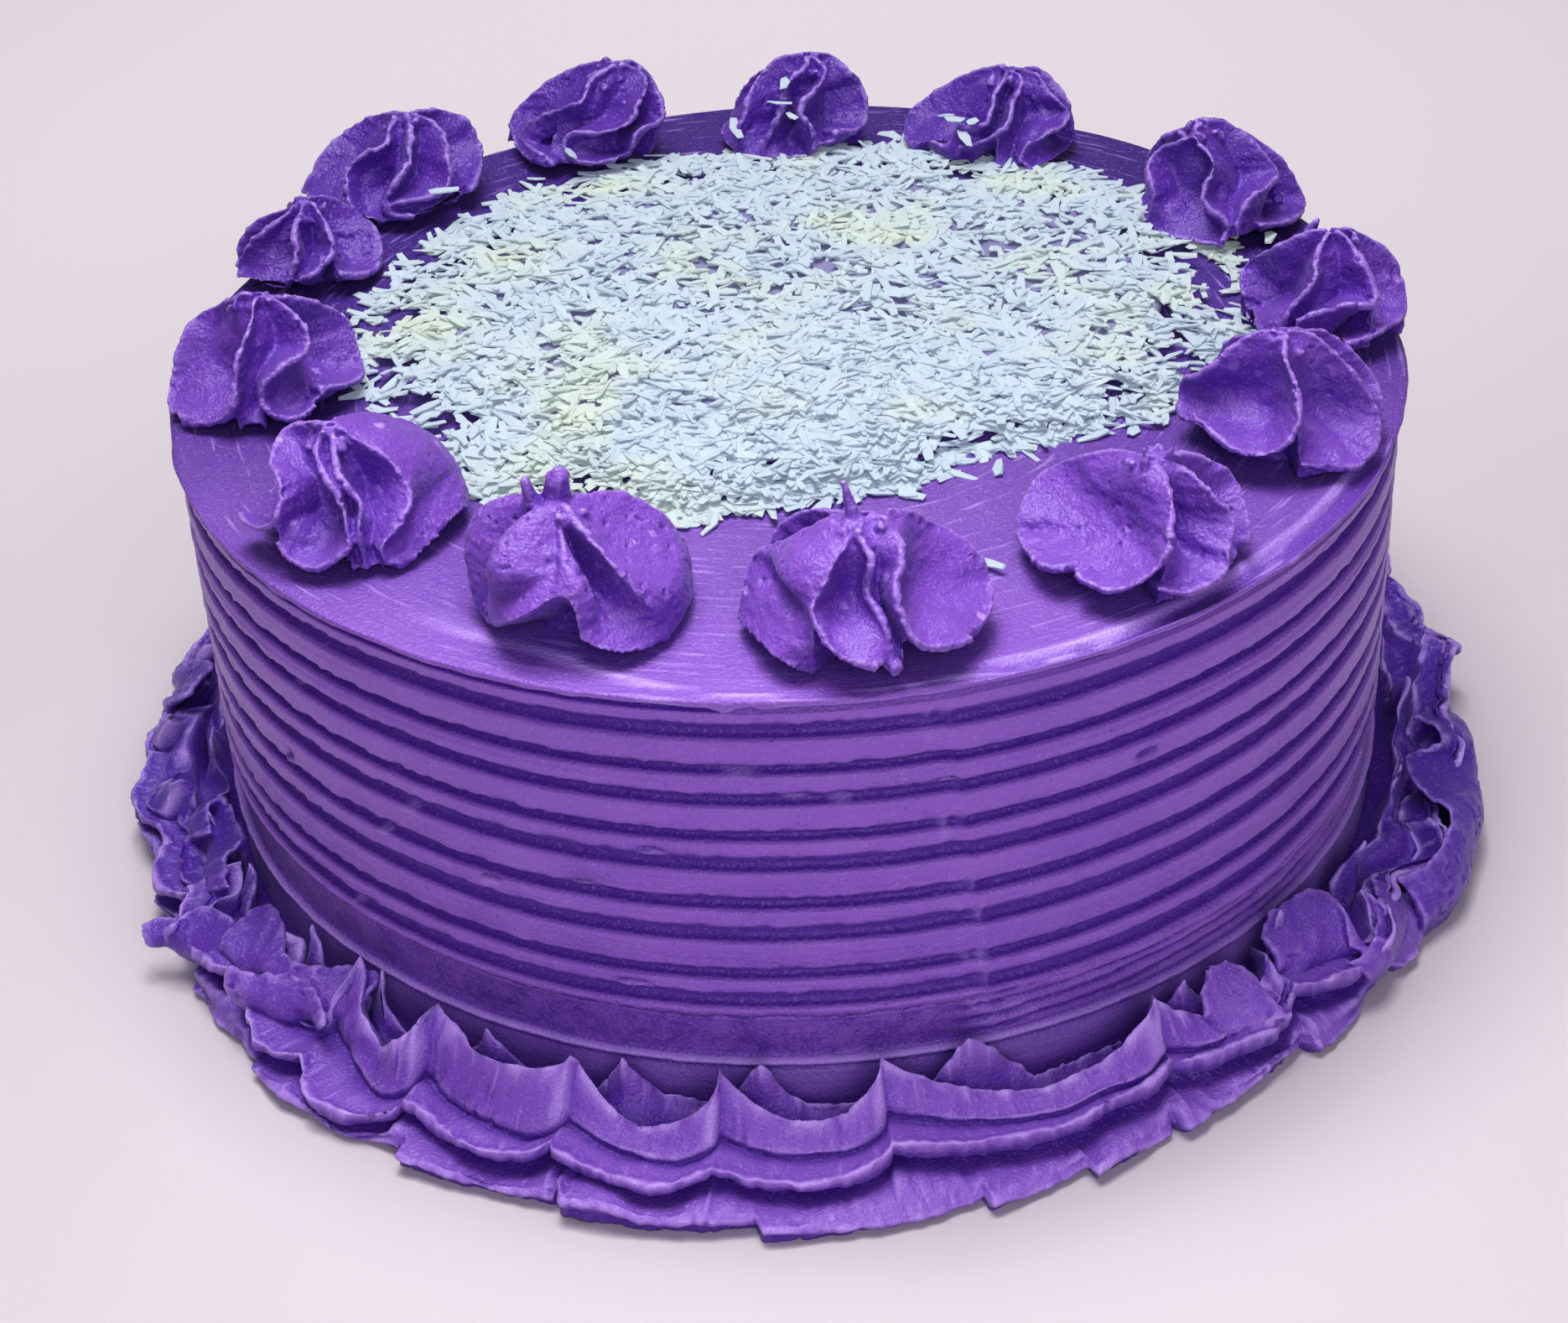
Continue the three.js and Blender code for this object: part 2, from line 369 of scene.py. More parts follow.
@dataclass(frozen=True)
class WhippedFrosting:
    """Whipped cream frosting tinted violet, spread or piped: soft and matt, with a bloom where smooth."""

    name: str
    colour: str = "#9C68D2"  # the body of the tint
    deep: str = "#8E5CC8"  # where the tint pools
    far: str = "#6239A6"  # away from the window
    edge: str = "#C4A2F0"  # painted highlight, on thin edges and on pale marks, specks and streaks
    crease: str = "#7340C8"  # painted shade in creases
    shade: str = "#5A2EA0"  # painted shade, deep in grooves and folds and on steep walls
    edge_highlight: float = 0.75
    foam_mm: float = 0.55  # the foam's grain; real foam is finer, this is what a photo shows
    foam_depth: float = 0.9
    patch_mm: float = 14.0  # of deeper tint, from uneven mixing
    fold_mm: float = 12.0  # how wide a fold still keeps the light out
    bubble_mm: float = 2.6
    stroke_depth: float = 0.0  # of the fine scratches that a comb or knife leaves
    roughness: float = 0.38
    bloom: float = 0.12  # the pale veil of the foam at a slant
    fold_shade: float = 0.95  # how far the folds darken
    steep_shade: float = 0.0  # how much painted shade steep walls get, as if lit from above
    near: float = -0.13  # how far forward, in metres, the falling off starts
    fall: float = 0.2  # over how many metres it falls off
    far_flat: bool = False  # whether only the flat top darkens away from the window

    def material(self) -> bpy.types.Material:
        """The finish as a material.

        Returns:
            A material whose patterns follow the piece's own shape.
        """
        made, tree = blank_material(self.name)
        place = add_node(tree, "ShaderNodeTexCoord").outputs["Object"]
        shape = add_node(tree, "ShaderNodeNewGeometry").outputs
        upward = add_node(tree, "ShaderNodeSeparateXYZ", {"Vector": shape["Normal"]}).outputs["Z"]
        open_sky = add_node(
            tree, "ShaderNodeAmbientOcclusion", {"Distance": self.fold_mm * MM}, samples=1
        ).outputs["AO"]
        # Painted shade, paleness (mostly painted highlight) and the comb's and knife's strokes come with the
        # piece.
        marks = add_node(tree, "ShaderNodeAttribute", attribute_name="tone").outputs["Vector"]
        tone = add_node(tree, "ShaderNodeSeparateXYZ", {"Vector": marks}).outputs
        strokes = add_node(tree, "ShaderNodeAttribute", attribute_name="strokes").outputs["Vector"]
        patches, foam, scratch = (
            add_node(
                tree, "ShaderNodeTexNoise", {"Vector": at, "Scale": scale, "Detail": detail}
            ).outputs["Fac"]
            for at, scale, detail in (
                (place, 1 / (self.patch_mm * MM), 1.0),
                (place, 1 / (self.foam_mm * MM), 2.0),
                (strokes, 1.0, 2.0),
            )
        )
        bubbles = add_node(
            tree, "ShaderNodeTexVoronoi", {"Vector": place, "Scale": 1 / (self.bubble_mm * MM)}
        ).outputs["Distance"]
        # The foam's grain makes the border of a groove's painted shade ragged.
        grain = add_node(
            tree, "ShaderNodeMath", {0: foam, 1: 0.9, 2: tone["X"]}, operation="MULTIPLY_ADD"
        ).outputs[0]
        depth = add_node(tree, "ShaderNodeSeparateXYZ", {"Vector": place}).outputs["Y"]
        # How far each mark shows: from the reading where it starts, to where it is full, up to its most.
        away, sunk, pits, pale, crease_shade, folded, steep, speck_glint, streak_glint = (
            add_node(
                tree,
                "ShaderNodeMapRange",
                {"Value": reading, "From Min": start, "From Max": full, "To Max": most},
                interpolation_type=blend,
            ).outputs["Result"]
            for reading, start, full, most, blend in (
                # The room's light falls off towards the back of the cake.
                (depth, self.near, self.near + self.fall, 1.0, "SMOOTHSTEP"),
                (grain, 0.72, 1.1, 0.85, "SMOOTHSTEP"),
                (bubbles, 0.02, 0.14, 1.0, "LINEAR"),
                # Painted highlight on thin edges, and painted shade in creases.
                (shape["Pointiness"], 0.51, 0.58, self.edge_highlight, "LINEAR"),
                (shape["Pointiness"], 0.49, 0.40, 0.6, "LINEAR"),
                # Little light finds its way into the folds, and what does comes out deeper in colour.
                (open_sky, 0.9, 0.4, self.fold_shade, "LINEAR"),
                # Painted shade on steep walls, as if lit from above; level floors stay lighter.
                (upward, 0.75, 0.2, self.steep_shade, "LINEAR"),
                # Painted highlights on specks of the foam's grain, and on streaks that the knife burnished.
                (foam, 0.58, 0.75, 0.3, "LINEAR"),
                (scratch, 0.6, 0.72, 0.5, "LINEAR"),
            )
        )
        if self.far_flat:
            away = add_node(tree, "ShaderNodeMath", {0: away, 1: tone["Z"]}, operation="MULTIPLY").outputs[0]
        # Painted highlights: the streaks where the piece allows them, the piece's own paleness, and the
        # specks.
        bright = add_node(tree, "ShaderNodeMath", {0: streak_glint, 1: tone["Z"]}, operation="MULTIPLY").outputs[0]
        for more, clamped in ((tone["Y"], False), (speck_glint, True)):
            bright = add_node(
                tree, "ShaderNodeMath", {0: bright, 1: more}, operation="ADD", use_clamp=clamped
            ).outputs[0]
        # Each colour lies over the one before, as far as its mark shows. All but the deep tint are painted
        # light and shade.
        tint = linear(self.colour)
        for share, over in (
            (patches, self.deep),
            (away, self.far),
            (pale, self.edge),
            (crease_shade, self.crease),
            (sunk, self.shade),
            (folded, self.shade),
            (steep, self.shade),
            (bright, self.edge),
        ):
            layer = {"Factor": share, 6: tint, 7: linear(over)}
            tint = add_node(tree, "ShaderNodeMix", layer, data_type="RGBA").outputs[2]
        # Scratches, the foam's grain and burst bubbles, each on the relief of the one before.
        relief = {}
        for height, strength, deep in (
            (scratch, self.stroke_depth, 0.5),
            (foam, self.foam_depth, 0.3),
            (pits, 0.5, 0.4),
        ):
            bump = {"Height": height, "Strength": strength, "Distance": deep * MM, **relief}
            relief = {"Normal": add_node(tree, "ShaderNodeBump", bump).outputs["Normal"]}
        body = add_node(
            tree,
            "ShaderNodeBsdfPrincipled",
            {
                "Base Color": tint,
                "Roughness": self.roughness,
                "IOR": FAT_IOR,
                "Sheen Weight": self.bloom,
                "Sheen Roughness": 0.4,
                **relief,
            },
        )
        add_node(tree, "ShaderNodeOutputMaterial", {"Surface": body.outputs[0]})
        return made


@dataclass(frozen=True)
class DesiccatedCoconut:
    """Shredded coconut flesh: dry, fibrous and near white, a little warmer in patches."""

    name: str
    colour: str = "#AFBFC4"
    warm: str = "#B6C0B4"
    cool: str = "#A5AFC0"
    patch_mm: float = 22.0
    mottle_mm: float = 3.0
    fibre_mm: float = 0.5
    painted_glow: float = 0.2  # painted glow that fills the shreds' shade, standing in for light the thin flesh would let through

    def material(self) -> bpy.types.Material:
        """The finish as a material.

        Returns:
            A near-white material with a fibrous grain.
        """
        made, tree = blank_material(self.name)
        made.cycles.emission_sampling = "NONE"  # too faint a glow to light anything else
        place = add_node(tree, "ShaderNodeTexCoord").outputs["Object"]
        broad, close, fibre = (
            add_node(
                tree, "ShaderNodeTexNoise", {"Vector": place, "Scale": 1 / (size * MM), "Detail": 2.0}
            ).outputs["Fac"]
            for size in (self.patch_mm, self.mottle_mm, self.fibre_mm)
        )
        patch = add_node(
            tree, "ShaderNodeMapRange", {"Value": broad, "From Min": 0.48, "From Max": 0.75}
        ).outputs["Result"]
        tint = linear(self.colour)
        for share, over in ((close, self.cool), (patch, self.warm)):
            layer = {"Factor": share, 6: tint, 7: linear(over)}
            tint = add_node(tree, "ShaderNodeMix", layer, data_type="RGBA").outputs[2]
        normal = add_node(
            tree, "ShaderNodeBump", {"Height": fibre, "Strength": 0.3, "Distance": 0.2 * MM}
        ).outputs["Normal"]
        body = add_node(
            tree,
            "ShaderNodeBsdfPrincipled",
            {
                "Base Color": tint,
                "Roughness": 0.6,
                "IOR": FAT_IOR,
                "Emission Color": tint,
                "Emission Strength": self.painted_glow,
                "Normal": normal,
            },
        )
        add_node(tree, "ShaderNodeOutputMaterial", {"Surface": body.outputs[0]})
        return made


@dataclass(frozen=True)
class PaleCard:
    """The pale card that the cake was photographed against: matt, faintly pink."""

    name: str = "pale card, matt"
    colour: str = "#F8F0F5"
    mottled: str = "#F6EFF3"
    near_shade: str = "#D2CACE"  # painted shade on the near end, evening out the front lamp's extra light there

    def material(self) -> bpy.types.Material:
        """The finish as a material.

        Returns:
            A matt material with a very faint mottle, and painted shade towards the near end.
        """
        made, tree = blank_material(self.name)
        place = add_node(tree, "ShaderNodeTexCoord").outputs["Object"]
        mottle = add_node(tree, "ShaderNodeTexNoise", {"Vector": place, "Scale": 6.0}).outputs["Fac"]
        depth = add_node(tree, "ShaderNodeSeparateXYZ", {"Vector": place}).outputs["Y"]
        near = add_node(
            tree, "ShaderNodeMapRange", {"Value": depth, "From Min": 0.4, "From Max": 0.05}
        ).outputs["Result"]
        tint = linear(self.colour)
        for share, over in ((mottle, self.mottled), (near, self.near_shade)):
            layer = {"Factor": share, 6: tint, 7: linear(over)}
            tint = add_node(tree, "ShaderNodeMix", layer, data_type="RGBA").outputs[2]
        matt = {"Base Color": tint, "Roughness": 0.9, "Specular IOR Level": 0.1}
        body = add_node(tree, "ShaderNodeBsdfPrincipled", matt)
        add_node(tree, "ShaderNodeOutputMaterial", {"Surface": body.outputs[0]})
        return made


# ---------------------------------------------------------------------------------------------
# The cake's body
# ---------------------------------------------------------------------------------------------


@dataclass
class CakeBody:
    """The frosted round: a combed wall, a smooth band and ledge at its foot, and a knifed top."""

    wall: float = 101.0
    columns: int = 590
    # Upper and lower edge of each groove that the comb cut, as seen on the wall.
    grooves: tuple[tuple[float, float], ...] = (
        (75.1, 72.4),
        (67.9, 66.1),
        (62.8, 60.5),
        (56.1, 54.1),
        (51.3, 48.5),
        (43.9, 41.5),
        (38.4, 35.4),
        (30.4, 28.2),
        (25.6, 22.7),
    )
    # (bearing, height, half width in degrees, half height) of the slits where the comb tore the frosting.
    slits: tuple[tuple[float, float, float, float], ...] = (
        (-103.3, 51.9, 1.3, 0.7), (-109.7, 44.4, 0.9, 0.5), (-105.8, 26.6, 1.5, 0.5), (-87.2, 61.9, 0.9, 0.6),
        (-78.5, 63.0, 0.9, 0.5), (-95.4, 67.2, 1.4, 0.5), (-91.0, 62.4, 0.9, 0.5), (-118.5, 41.0, 1.0, 0.4),
        (-60.0, 57.5, 1.2, 0.4), (-133.0, 47.0, 1.2, 0.5), (-70.5, 33.0, 1.0, 0.4), (40.0, 52.0, 1.3, 0.6),
        (120.0, 38.0, 1.2, 0.5), (-140.6, 61.9, 0.6, 0.5), (-143.3, 45.0, 0.6, 0.5),
        (-149.5, 33.8, 0.9, 0.6), (-130.3, 42.7, 0.6, 0.6), (-126.6, 49.6, 0.5, 0.5),
        (-135.9, 24.2, 0.6, 0.6),
    )
    # (bearing, drop, half width) where the rim's lip hangs down over the wall.
    drips: tuple[tuple[float, float, float], ...] = (
        (-96.2, 1.1, 0.9), (-92.8, 0.7, 0.8), (-140.0, 0.4, 1.0), (30.0, 0.8, 1.2), (105.0, 0.6, 1.0)
    )
    # (bearing, reach) of the smear that the knife left along the front of the rim.
    smear: tuple[tuple[float, float], ...] = (
        (-132, 93.5), (-118, 94.5), (-110, 95.6), (-103, 98.6), (-97, 101.0), (-86, 100.6), (-74, 100.2),
        (-60, 98.5)
    )
    # Rings of the top, as shares of the rim's reach: close together where the knife left its marks.
    shares: tuple[float, ...] = (
        0.994, 0.987, 0.979, 0.97, 0.963, 0.957, 0.951, 0.943, 0.93, 0.91, 0.885,
        0.86, 0.83, 0.8, 0.77, 0.73, 0.69, 0.65, 0.6, 0.5, 0.3, 0.1,
    )
    seam_bearing: float = -76.5
    seam_lean: float = 0.066  # degrees per millimetre of height
    stroke_turn: float = 7.0  # how many scratches follow one another in a radian
    stroke_width: float = 1.1
    grain: Grain = field(default_factory=lambda: Grain(11))

    def _levels(self) -> np.ndarray:
        """Rows of the wall from the foot up.

        Returns:
            (height as the comb set it, offset from the wall's radius, depth of painted shade, share of fuzz)
            of each.
        """
        rows = [
            (0.0, 0.0, 0, 0), (2.2, -0.2, 0.2, 0), (3.8, -0.5, 0.2, 0), (6.8, -0.5, 0, 0),
            (9.3, -0.6, 0, 0), (10.1, -0.9, 0.5, 0), (10.5, -1.4, 1, 0), (11.2, -1.2, 1, 0),
            (11.5, 0.2, 0.1, 0.3), (11.9, 0.45, 0, 0.3), (12.2, 0.3, 0, 0), (12.5, -0.9, 0.5, 0),
            (19.7, -0.9, 0.2, 1.0), (20.0, -1.5, 0.9, 0.8), (20.6, -0.7, 0.1, 0.8),
            (76.9, 0.35, 0, 0.3), (77.35, 0.35, 0, 0.2), (77.5, -0.1, 1, 0.1), (77.9, -1.0, 1, 0.1),
            (78.55, -0.7, 1, 0), (78.85, 1.0, 0.1, 0), (79.25, 1.3, 0, 0), (79.65, 1.35, 0, 0),
            (79.9, 1.1, 0, 0),
        ]
        rows += [(height, -1.2, 0.42, 0.4) for height in np.arange(13.1, 19.6, 0.62)]
        for high, low in reversed(self.grooves):
            rows += [
                (low - 1.1, 0.25, 0, 0.2), (low - 0.55, 0.3, 0, 0.15), (low - 0.15, 0.1, 0, 0.1),
                (low + 0.1, -1.0, 0.9, 0.1), (low + 0.4, -1.6, 1, 0.1),
                (0.5 * (low + high - 0.3), -1.6, 1, 0.2),
                (high - 0.8, -1.15, 0.95, 0.6), (high - 0.35, -0.65, 0.8, 1), (high + 0.05, -0.15, 0.55, 1),
                (high + 0.45, 0.2, 0.3, 1), (high + 0.95, 0.4, 0, 0.7),
            ]
        rows += [(row[0] + 2.0, 0.42, 0, 0.5) for row in self.grooves[:4]]
        return np.array(sorted(rows))

    def _wall_points(self, bearing: np.ndarray) -> tuple[np.ndarray, np.ndarray]:
        """Points of the wall from the foot to the rim.

        Args:
            bearing: Bearings of the columns, in -180..180.

        Returns:
            Positions of shape (rows, columns, 3), and painted shade and paleness, mostly highlight, of shape
            (rows, columns, 2).
        """
        read, offset, shade, fuzziness = (column[:, None] + 0 * bearing for column in self._levels().T)
        where = polar(bearing[None], self.wall, read)
        # The comb was held by hand: its lines wave a little, and step down where the turn ended.
        wave = 0.35 * self.grain.at(where * [1, 1, 0], 70.0) + 0.12 * self.grain.at(where * [1, 1, 0], 14.0)
        past = (bearing[None] - self.seam_bearing + self.seam_lean * (read - 45) + 180) % TURN - 180
        step = 0.55 * smooth(past / 1.2 + 0.5) * np.exp(-np.maximum(past, 0) / 40)
        comb = np.clip((read - 14) / 8, 0, 1) * np.clip((78 - read) / 4, 0, 1)
        rough = np.where((past > 0) & (past < 90), 0.45, 1.0)
        fuzz = rough * (0.42 * self.grain.at(where, (1.2, 1.2, 1.2)) + 0.25 * self.grain.at(where, 2.6))
        level = read - comb * (wave + step + fuzz * fuzziness * 0.6)
        offset += fuzziness * fuzz * 0.5 + 0.35 * self.grain.at(where, (50, 50, 60))
        offset += 0.14 * self.grain.rough(where, 3.0, 2)
        shade = np.clip(shade + fuzziness * fuzz * 0.8 * (shade > 0), 0, 1)
        # Below the lowest groove the comb only skimmed: ragged lines that slope down to the right.
        skim = np.clip((23 - read) / 2, 0, 1) * np.clip((read - 12.5) / 1.5, 0, 1)
        drawn = skim * smooth((past + 4) / 5) * smooth((75 - past) / 30)
        climb = (level - 0.05 * past + 0.5 * self.grain.at(where, 12.0)) / 2.5
        ridge = 2 * np.abs(climb - np.floor(climb) - 0.5) + 0.3 * fuzz
        offset += drawn * (1.3 * smooth((ridge - 0.35) / 0.3) - 0.2)
        offset += skim * 0.25 * self.grain.rough(where, (9.0, 9.0, 1.5), 2)
        # Painted shade in the hollows of the skimmed lines.
        shade = shade * (1 - drawn) + drawn * (1 - smooth((ridge - 0.3) / 0.25))
        # The seam: two upright smears of frosting dragged when the comb left the wall.
        smear = np.exp(-((past / 0.5) ** 2)) + 0.8 * np.exp(-(((past + 1.6) / 0.5) ** 2))
        smear = smear * smooth(self.grain.at(where, 5.0) * 2 + 0.7)
        offset += smear * comb * (0.25 - 0.6 * np.minimum(offset, 0))
        shade *= 1 - 0.6 * np.clip(smear * comb, 0, 1)
        flecks = smooth(self.grain.at(where, 1.6) * 2.5 + 0.2)
        pale = 0.5 * np.clip(smear * comb, 0, 1) * flecks
        # Painted highlight along the ledge's edge, painted light on the band below it, and painted highlights
        # on the skimmed lines.
        pale += 0.8 * np.exp(-(((read - 12.1) / 0.22) ** 2))
        pale += 0.3 * smooth((read - 5.5) / 1.5) * smooth((10.3 - read) / 0.8)
        pale += 0.3 * drawn * smooth((ridge - 0.75) / 0.2)
        # Each slit: painted shade inside it, and a painted highlight on its lower lip.
        for about, height, wide, tall in self.slits:
            away = ((bearing[None] - about) / wide) ** 2
            hole = np.exp(-((away + ((level - height) / tall) ** 2) ** 2))
            lower = np.exp(-((away + ((level - height + 1.5 * tall) / (0.8 * tall)) ** 2) ** 2))
            offset += 0.4 * lower - 1.1 * hole
            shade, pale = np.maximum(shade, hole), pale + 0.5 * lower
        # The rim's lip is thin and ragged, and hangs down here and there.
        lip = np.clip((read - 78.7) / 0.2, 0, 1)
        hang = 0.25 * self.grain.at(where, 3.0)
        for about, drop, wide in self.drips:
            hang += drop * np.exp(-(((bearing[None] - about) / wide) ** 4))
        level -= np.clip(hang, -0.15, 2.0) * lip * np.clip((79.9 - read) / 0.6, 0, 1)
        offset += lip * 0.3 * self.grain.at(where, (9.0, 9.0, 50.0))
        # Where the lip is thin, the wall under it stands out further and has less painted shade.
        thin = smooth((bearing[None] + 98) / 3) * smooth((60 - bearing[None]) / 20)
        under_lip = (read > 77.4) & (read < 78.7)
        shade = np.where(under_lip, shade * (1 - 0.75 * thin), shade)
        offset += np.where(under_lip, 0.8 * thin, 0)
        # A painted highlight along the lip.
        pale += 0.7 * np.exp(-(((read - 79.0) / 0.25) ** 2)) * smooth(self.grain.at(where, 6.0) + 0.7)
        spots = polar(bearing[None], self.wall + offset, np.clip(level, 0, 79.95))
        return spots, np.stack([shade, np.clip(pale, 0, 1)], axis=-1)

    def _top(self, spot: np.ndarray) -> tuple[np.ndarray, np.ndarray]:
        """The knifed top.

        Args:
            spot: Spots of shape (..., 2).

        Returns:
            Heights of shape (...), and painted shade and painted highlight of shape (..., 2).
        """
        reach = np.hypot(spot[..., 0], spot[..., 1])
        angle = np.degrees(np.arctan2(spot[..., 1], spot[..., 0]))
        strokes = np.stack([angle * 0.9, reach, 0 * reach], axis=-1)
        height = TOP + 0.3 * self.grain.at(strokes, (26, 7, 1)) + 0.12 * self.grain.at(strokes, (9, 2.4, 1))
        height += 0.35 * self.grain.at(np.stack([spot[..., 0], spot[..., 1], 0 * reach], -1), 22.0)
        # Right of the seam the knife left a sloping strip outside a crisp inner edge, torn open in one place.
        strip = smooth((angle + 76) / 4) * smooth((-16 - angle) / 14)
        inner = 98.2 + 0.5 * self.grain.at(strokes, (12, 50, 1))
        height -= strip * 1.1 * smooth((reach - inner) / 0.7)
        hole = np.exp(-(((angle + 65.5) / 1.5) ** 2 + ((reach - 100.4) / 0.9) ** 2) ** 2)
        height -= 1.2 * hole
        track = np.interp(angle, *np.array(self.smear).T)
        dragged = np.exp(-(((reach - track) / 1.1) ** 2))
        dragged = dragged * smooth((angle + 130) / 12) * smooth((-58 - angle) / 10)
        streaks = smooth(0.4 + 1.6 * self.grain.at(strokes, (5, 0.9, 1)))
        height += 0.35 * dragged * streaks
        # Painted highlights on the knife's smear along the rim and on the strip's inner edge; painted shade
        # in the hole and on the sloping strip.
        pale = 0.95 * dragged * streaks + 0.7 * strip * np.exp(-(((reach - inner) / 0.5) ** 2))
        shade = np.maximum(hole, 0.5 * strip * smooth((reach - inner - 0.6) / 0.6))
        return height, np.stack([shade, np.clip(pale, 0, 1)], axis=-1)

    def build(self) -> bpy.types.Object:
        """Builds the body.

        Returns:
            One closed piece.
        """
        bearing = np.arange(self.columns) * TURN / self.columns - 180
        wall, tone = self._wall_points(bearing)
        rim = wall[-1]
        rows, tones = [], [tone]
        for k, share in enumerate(self.shares):
            spot = rim[:, :2] * share
            height, marks = self._top(spot)
            edge = 0.6 if k == 0 else 1.0
            rows.append(np.concatenate([spot, (rim[:, 2] * (1 - edge) + height * edge)[:, None]], axis=1))
            tones.append(marks[None])
        points = np.concatenate([wall.reshape(-1, 3), *rows, [[0, 0, TOP], [0, 0, 0]]])
        faces = ring_faces(wall.shape[0] + len(rows), self.columns).tolist()
        faces += end_fans((wall.shape[0] + len(rows) - 1) * self.columns, self.columns, len(points) - 2)
        piece = make_mesh("Frosted_Body", points, faces)
        reach = np.hypot(points[:, 0], points[:, 1])
        angle = np.radians((np.degrees(np.arctan2(points[:, 1], points[:, 0])) - 90) % TURN)
        knifed = points[:, 2] > TOP - 1.5
        down = np.where(knifed, reach, 180 - points[:, 2])
        strokes = np.stack([angle * self.stroke_turn, down / self.stroke_width, 0 * down], axis=-1)
        mark(piece, "strokes", strokes)
        marks = np.concatenate([np.concatenate(tones).reshape(-1, 2), np.zeros((2, 2))])
        mark(piece, "tone", np.concatenate([marks, knifed[:, None] * 1.0], axis=1))
        finish = WhippedFrosting(
            "whipped frosting, combed and knifed",
            colour="#A472D4",
            far="#40237A",
            near=-0.15,
            far_flat=True,
            fold_shade=0.45,
            edge_highlight=0.0,
            stroke_depth=0.5,
        )
        piece.data.materials.append(finish.material())
        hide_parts("cake_body")
        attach(piece, "root")
        return piece


# ---------------------------------------------------------------------------------------------
# Rosettes
# ---------------------------------------------------------------------------------------------


Line = tuple[tuple[float, float, float], ...]


@dataclass(frozen=True)
class Fin:
    """One thin fin of a rosette, by its free edge.

    The edge runs from the crown down to the foot. From the stem's last point on it may hook: it then
    runs along the foot as the lip of the petal beside it, towards lower bearings (-1) or higher (1).
    Every point is a bearing about the rosette's axis, a reach from it and a height.
    """

    edge: Line
    stem: int = 0  # points before the hook; 0 where there is no hook
    hook: int = 0
    # The line down the middle of the petal on the higher side, where that isn't a plain scoop.
    petal: Line = ()
    sharp: bool = True  # False for the soft fold between two swollen petals

    def middle(self) -> float:
        """The bearing of the edge halfway down its stem."""
        return self.edge[max(1, (self.stem or len(self.edge)) // 2)][0]


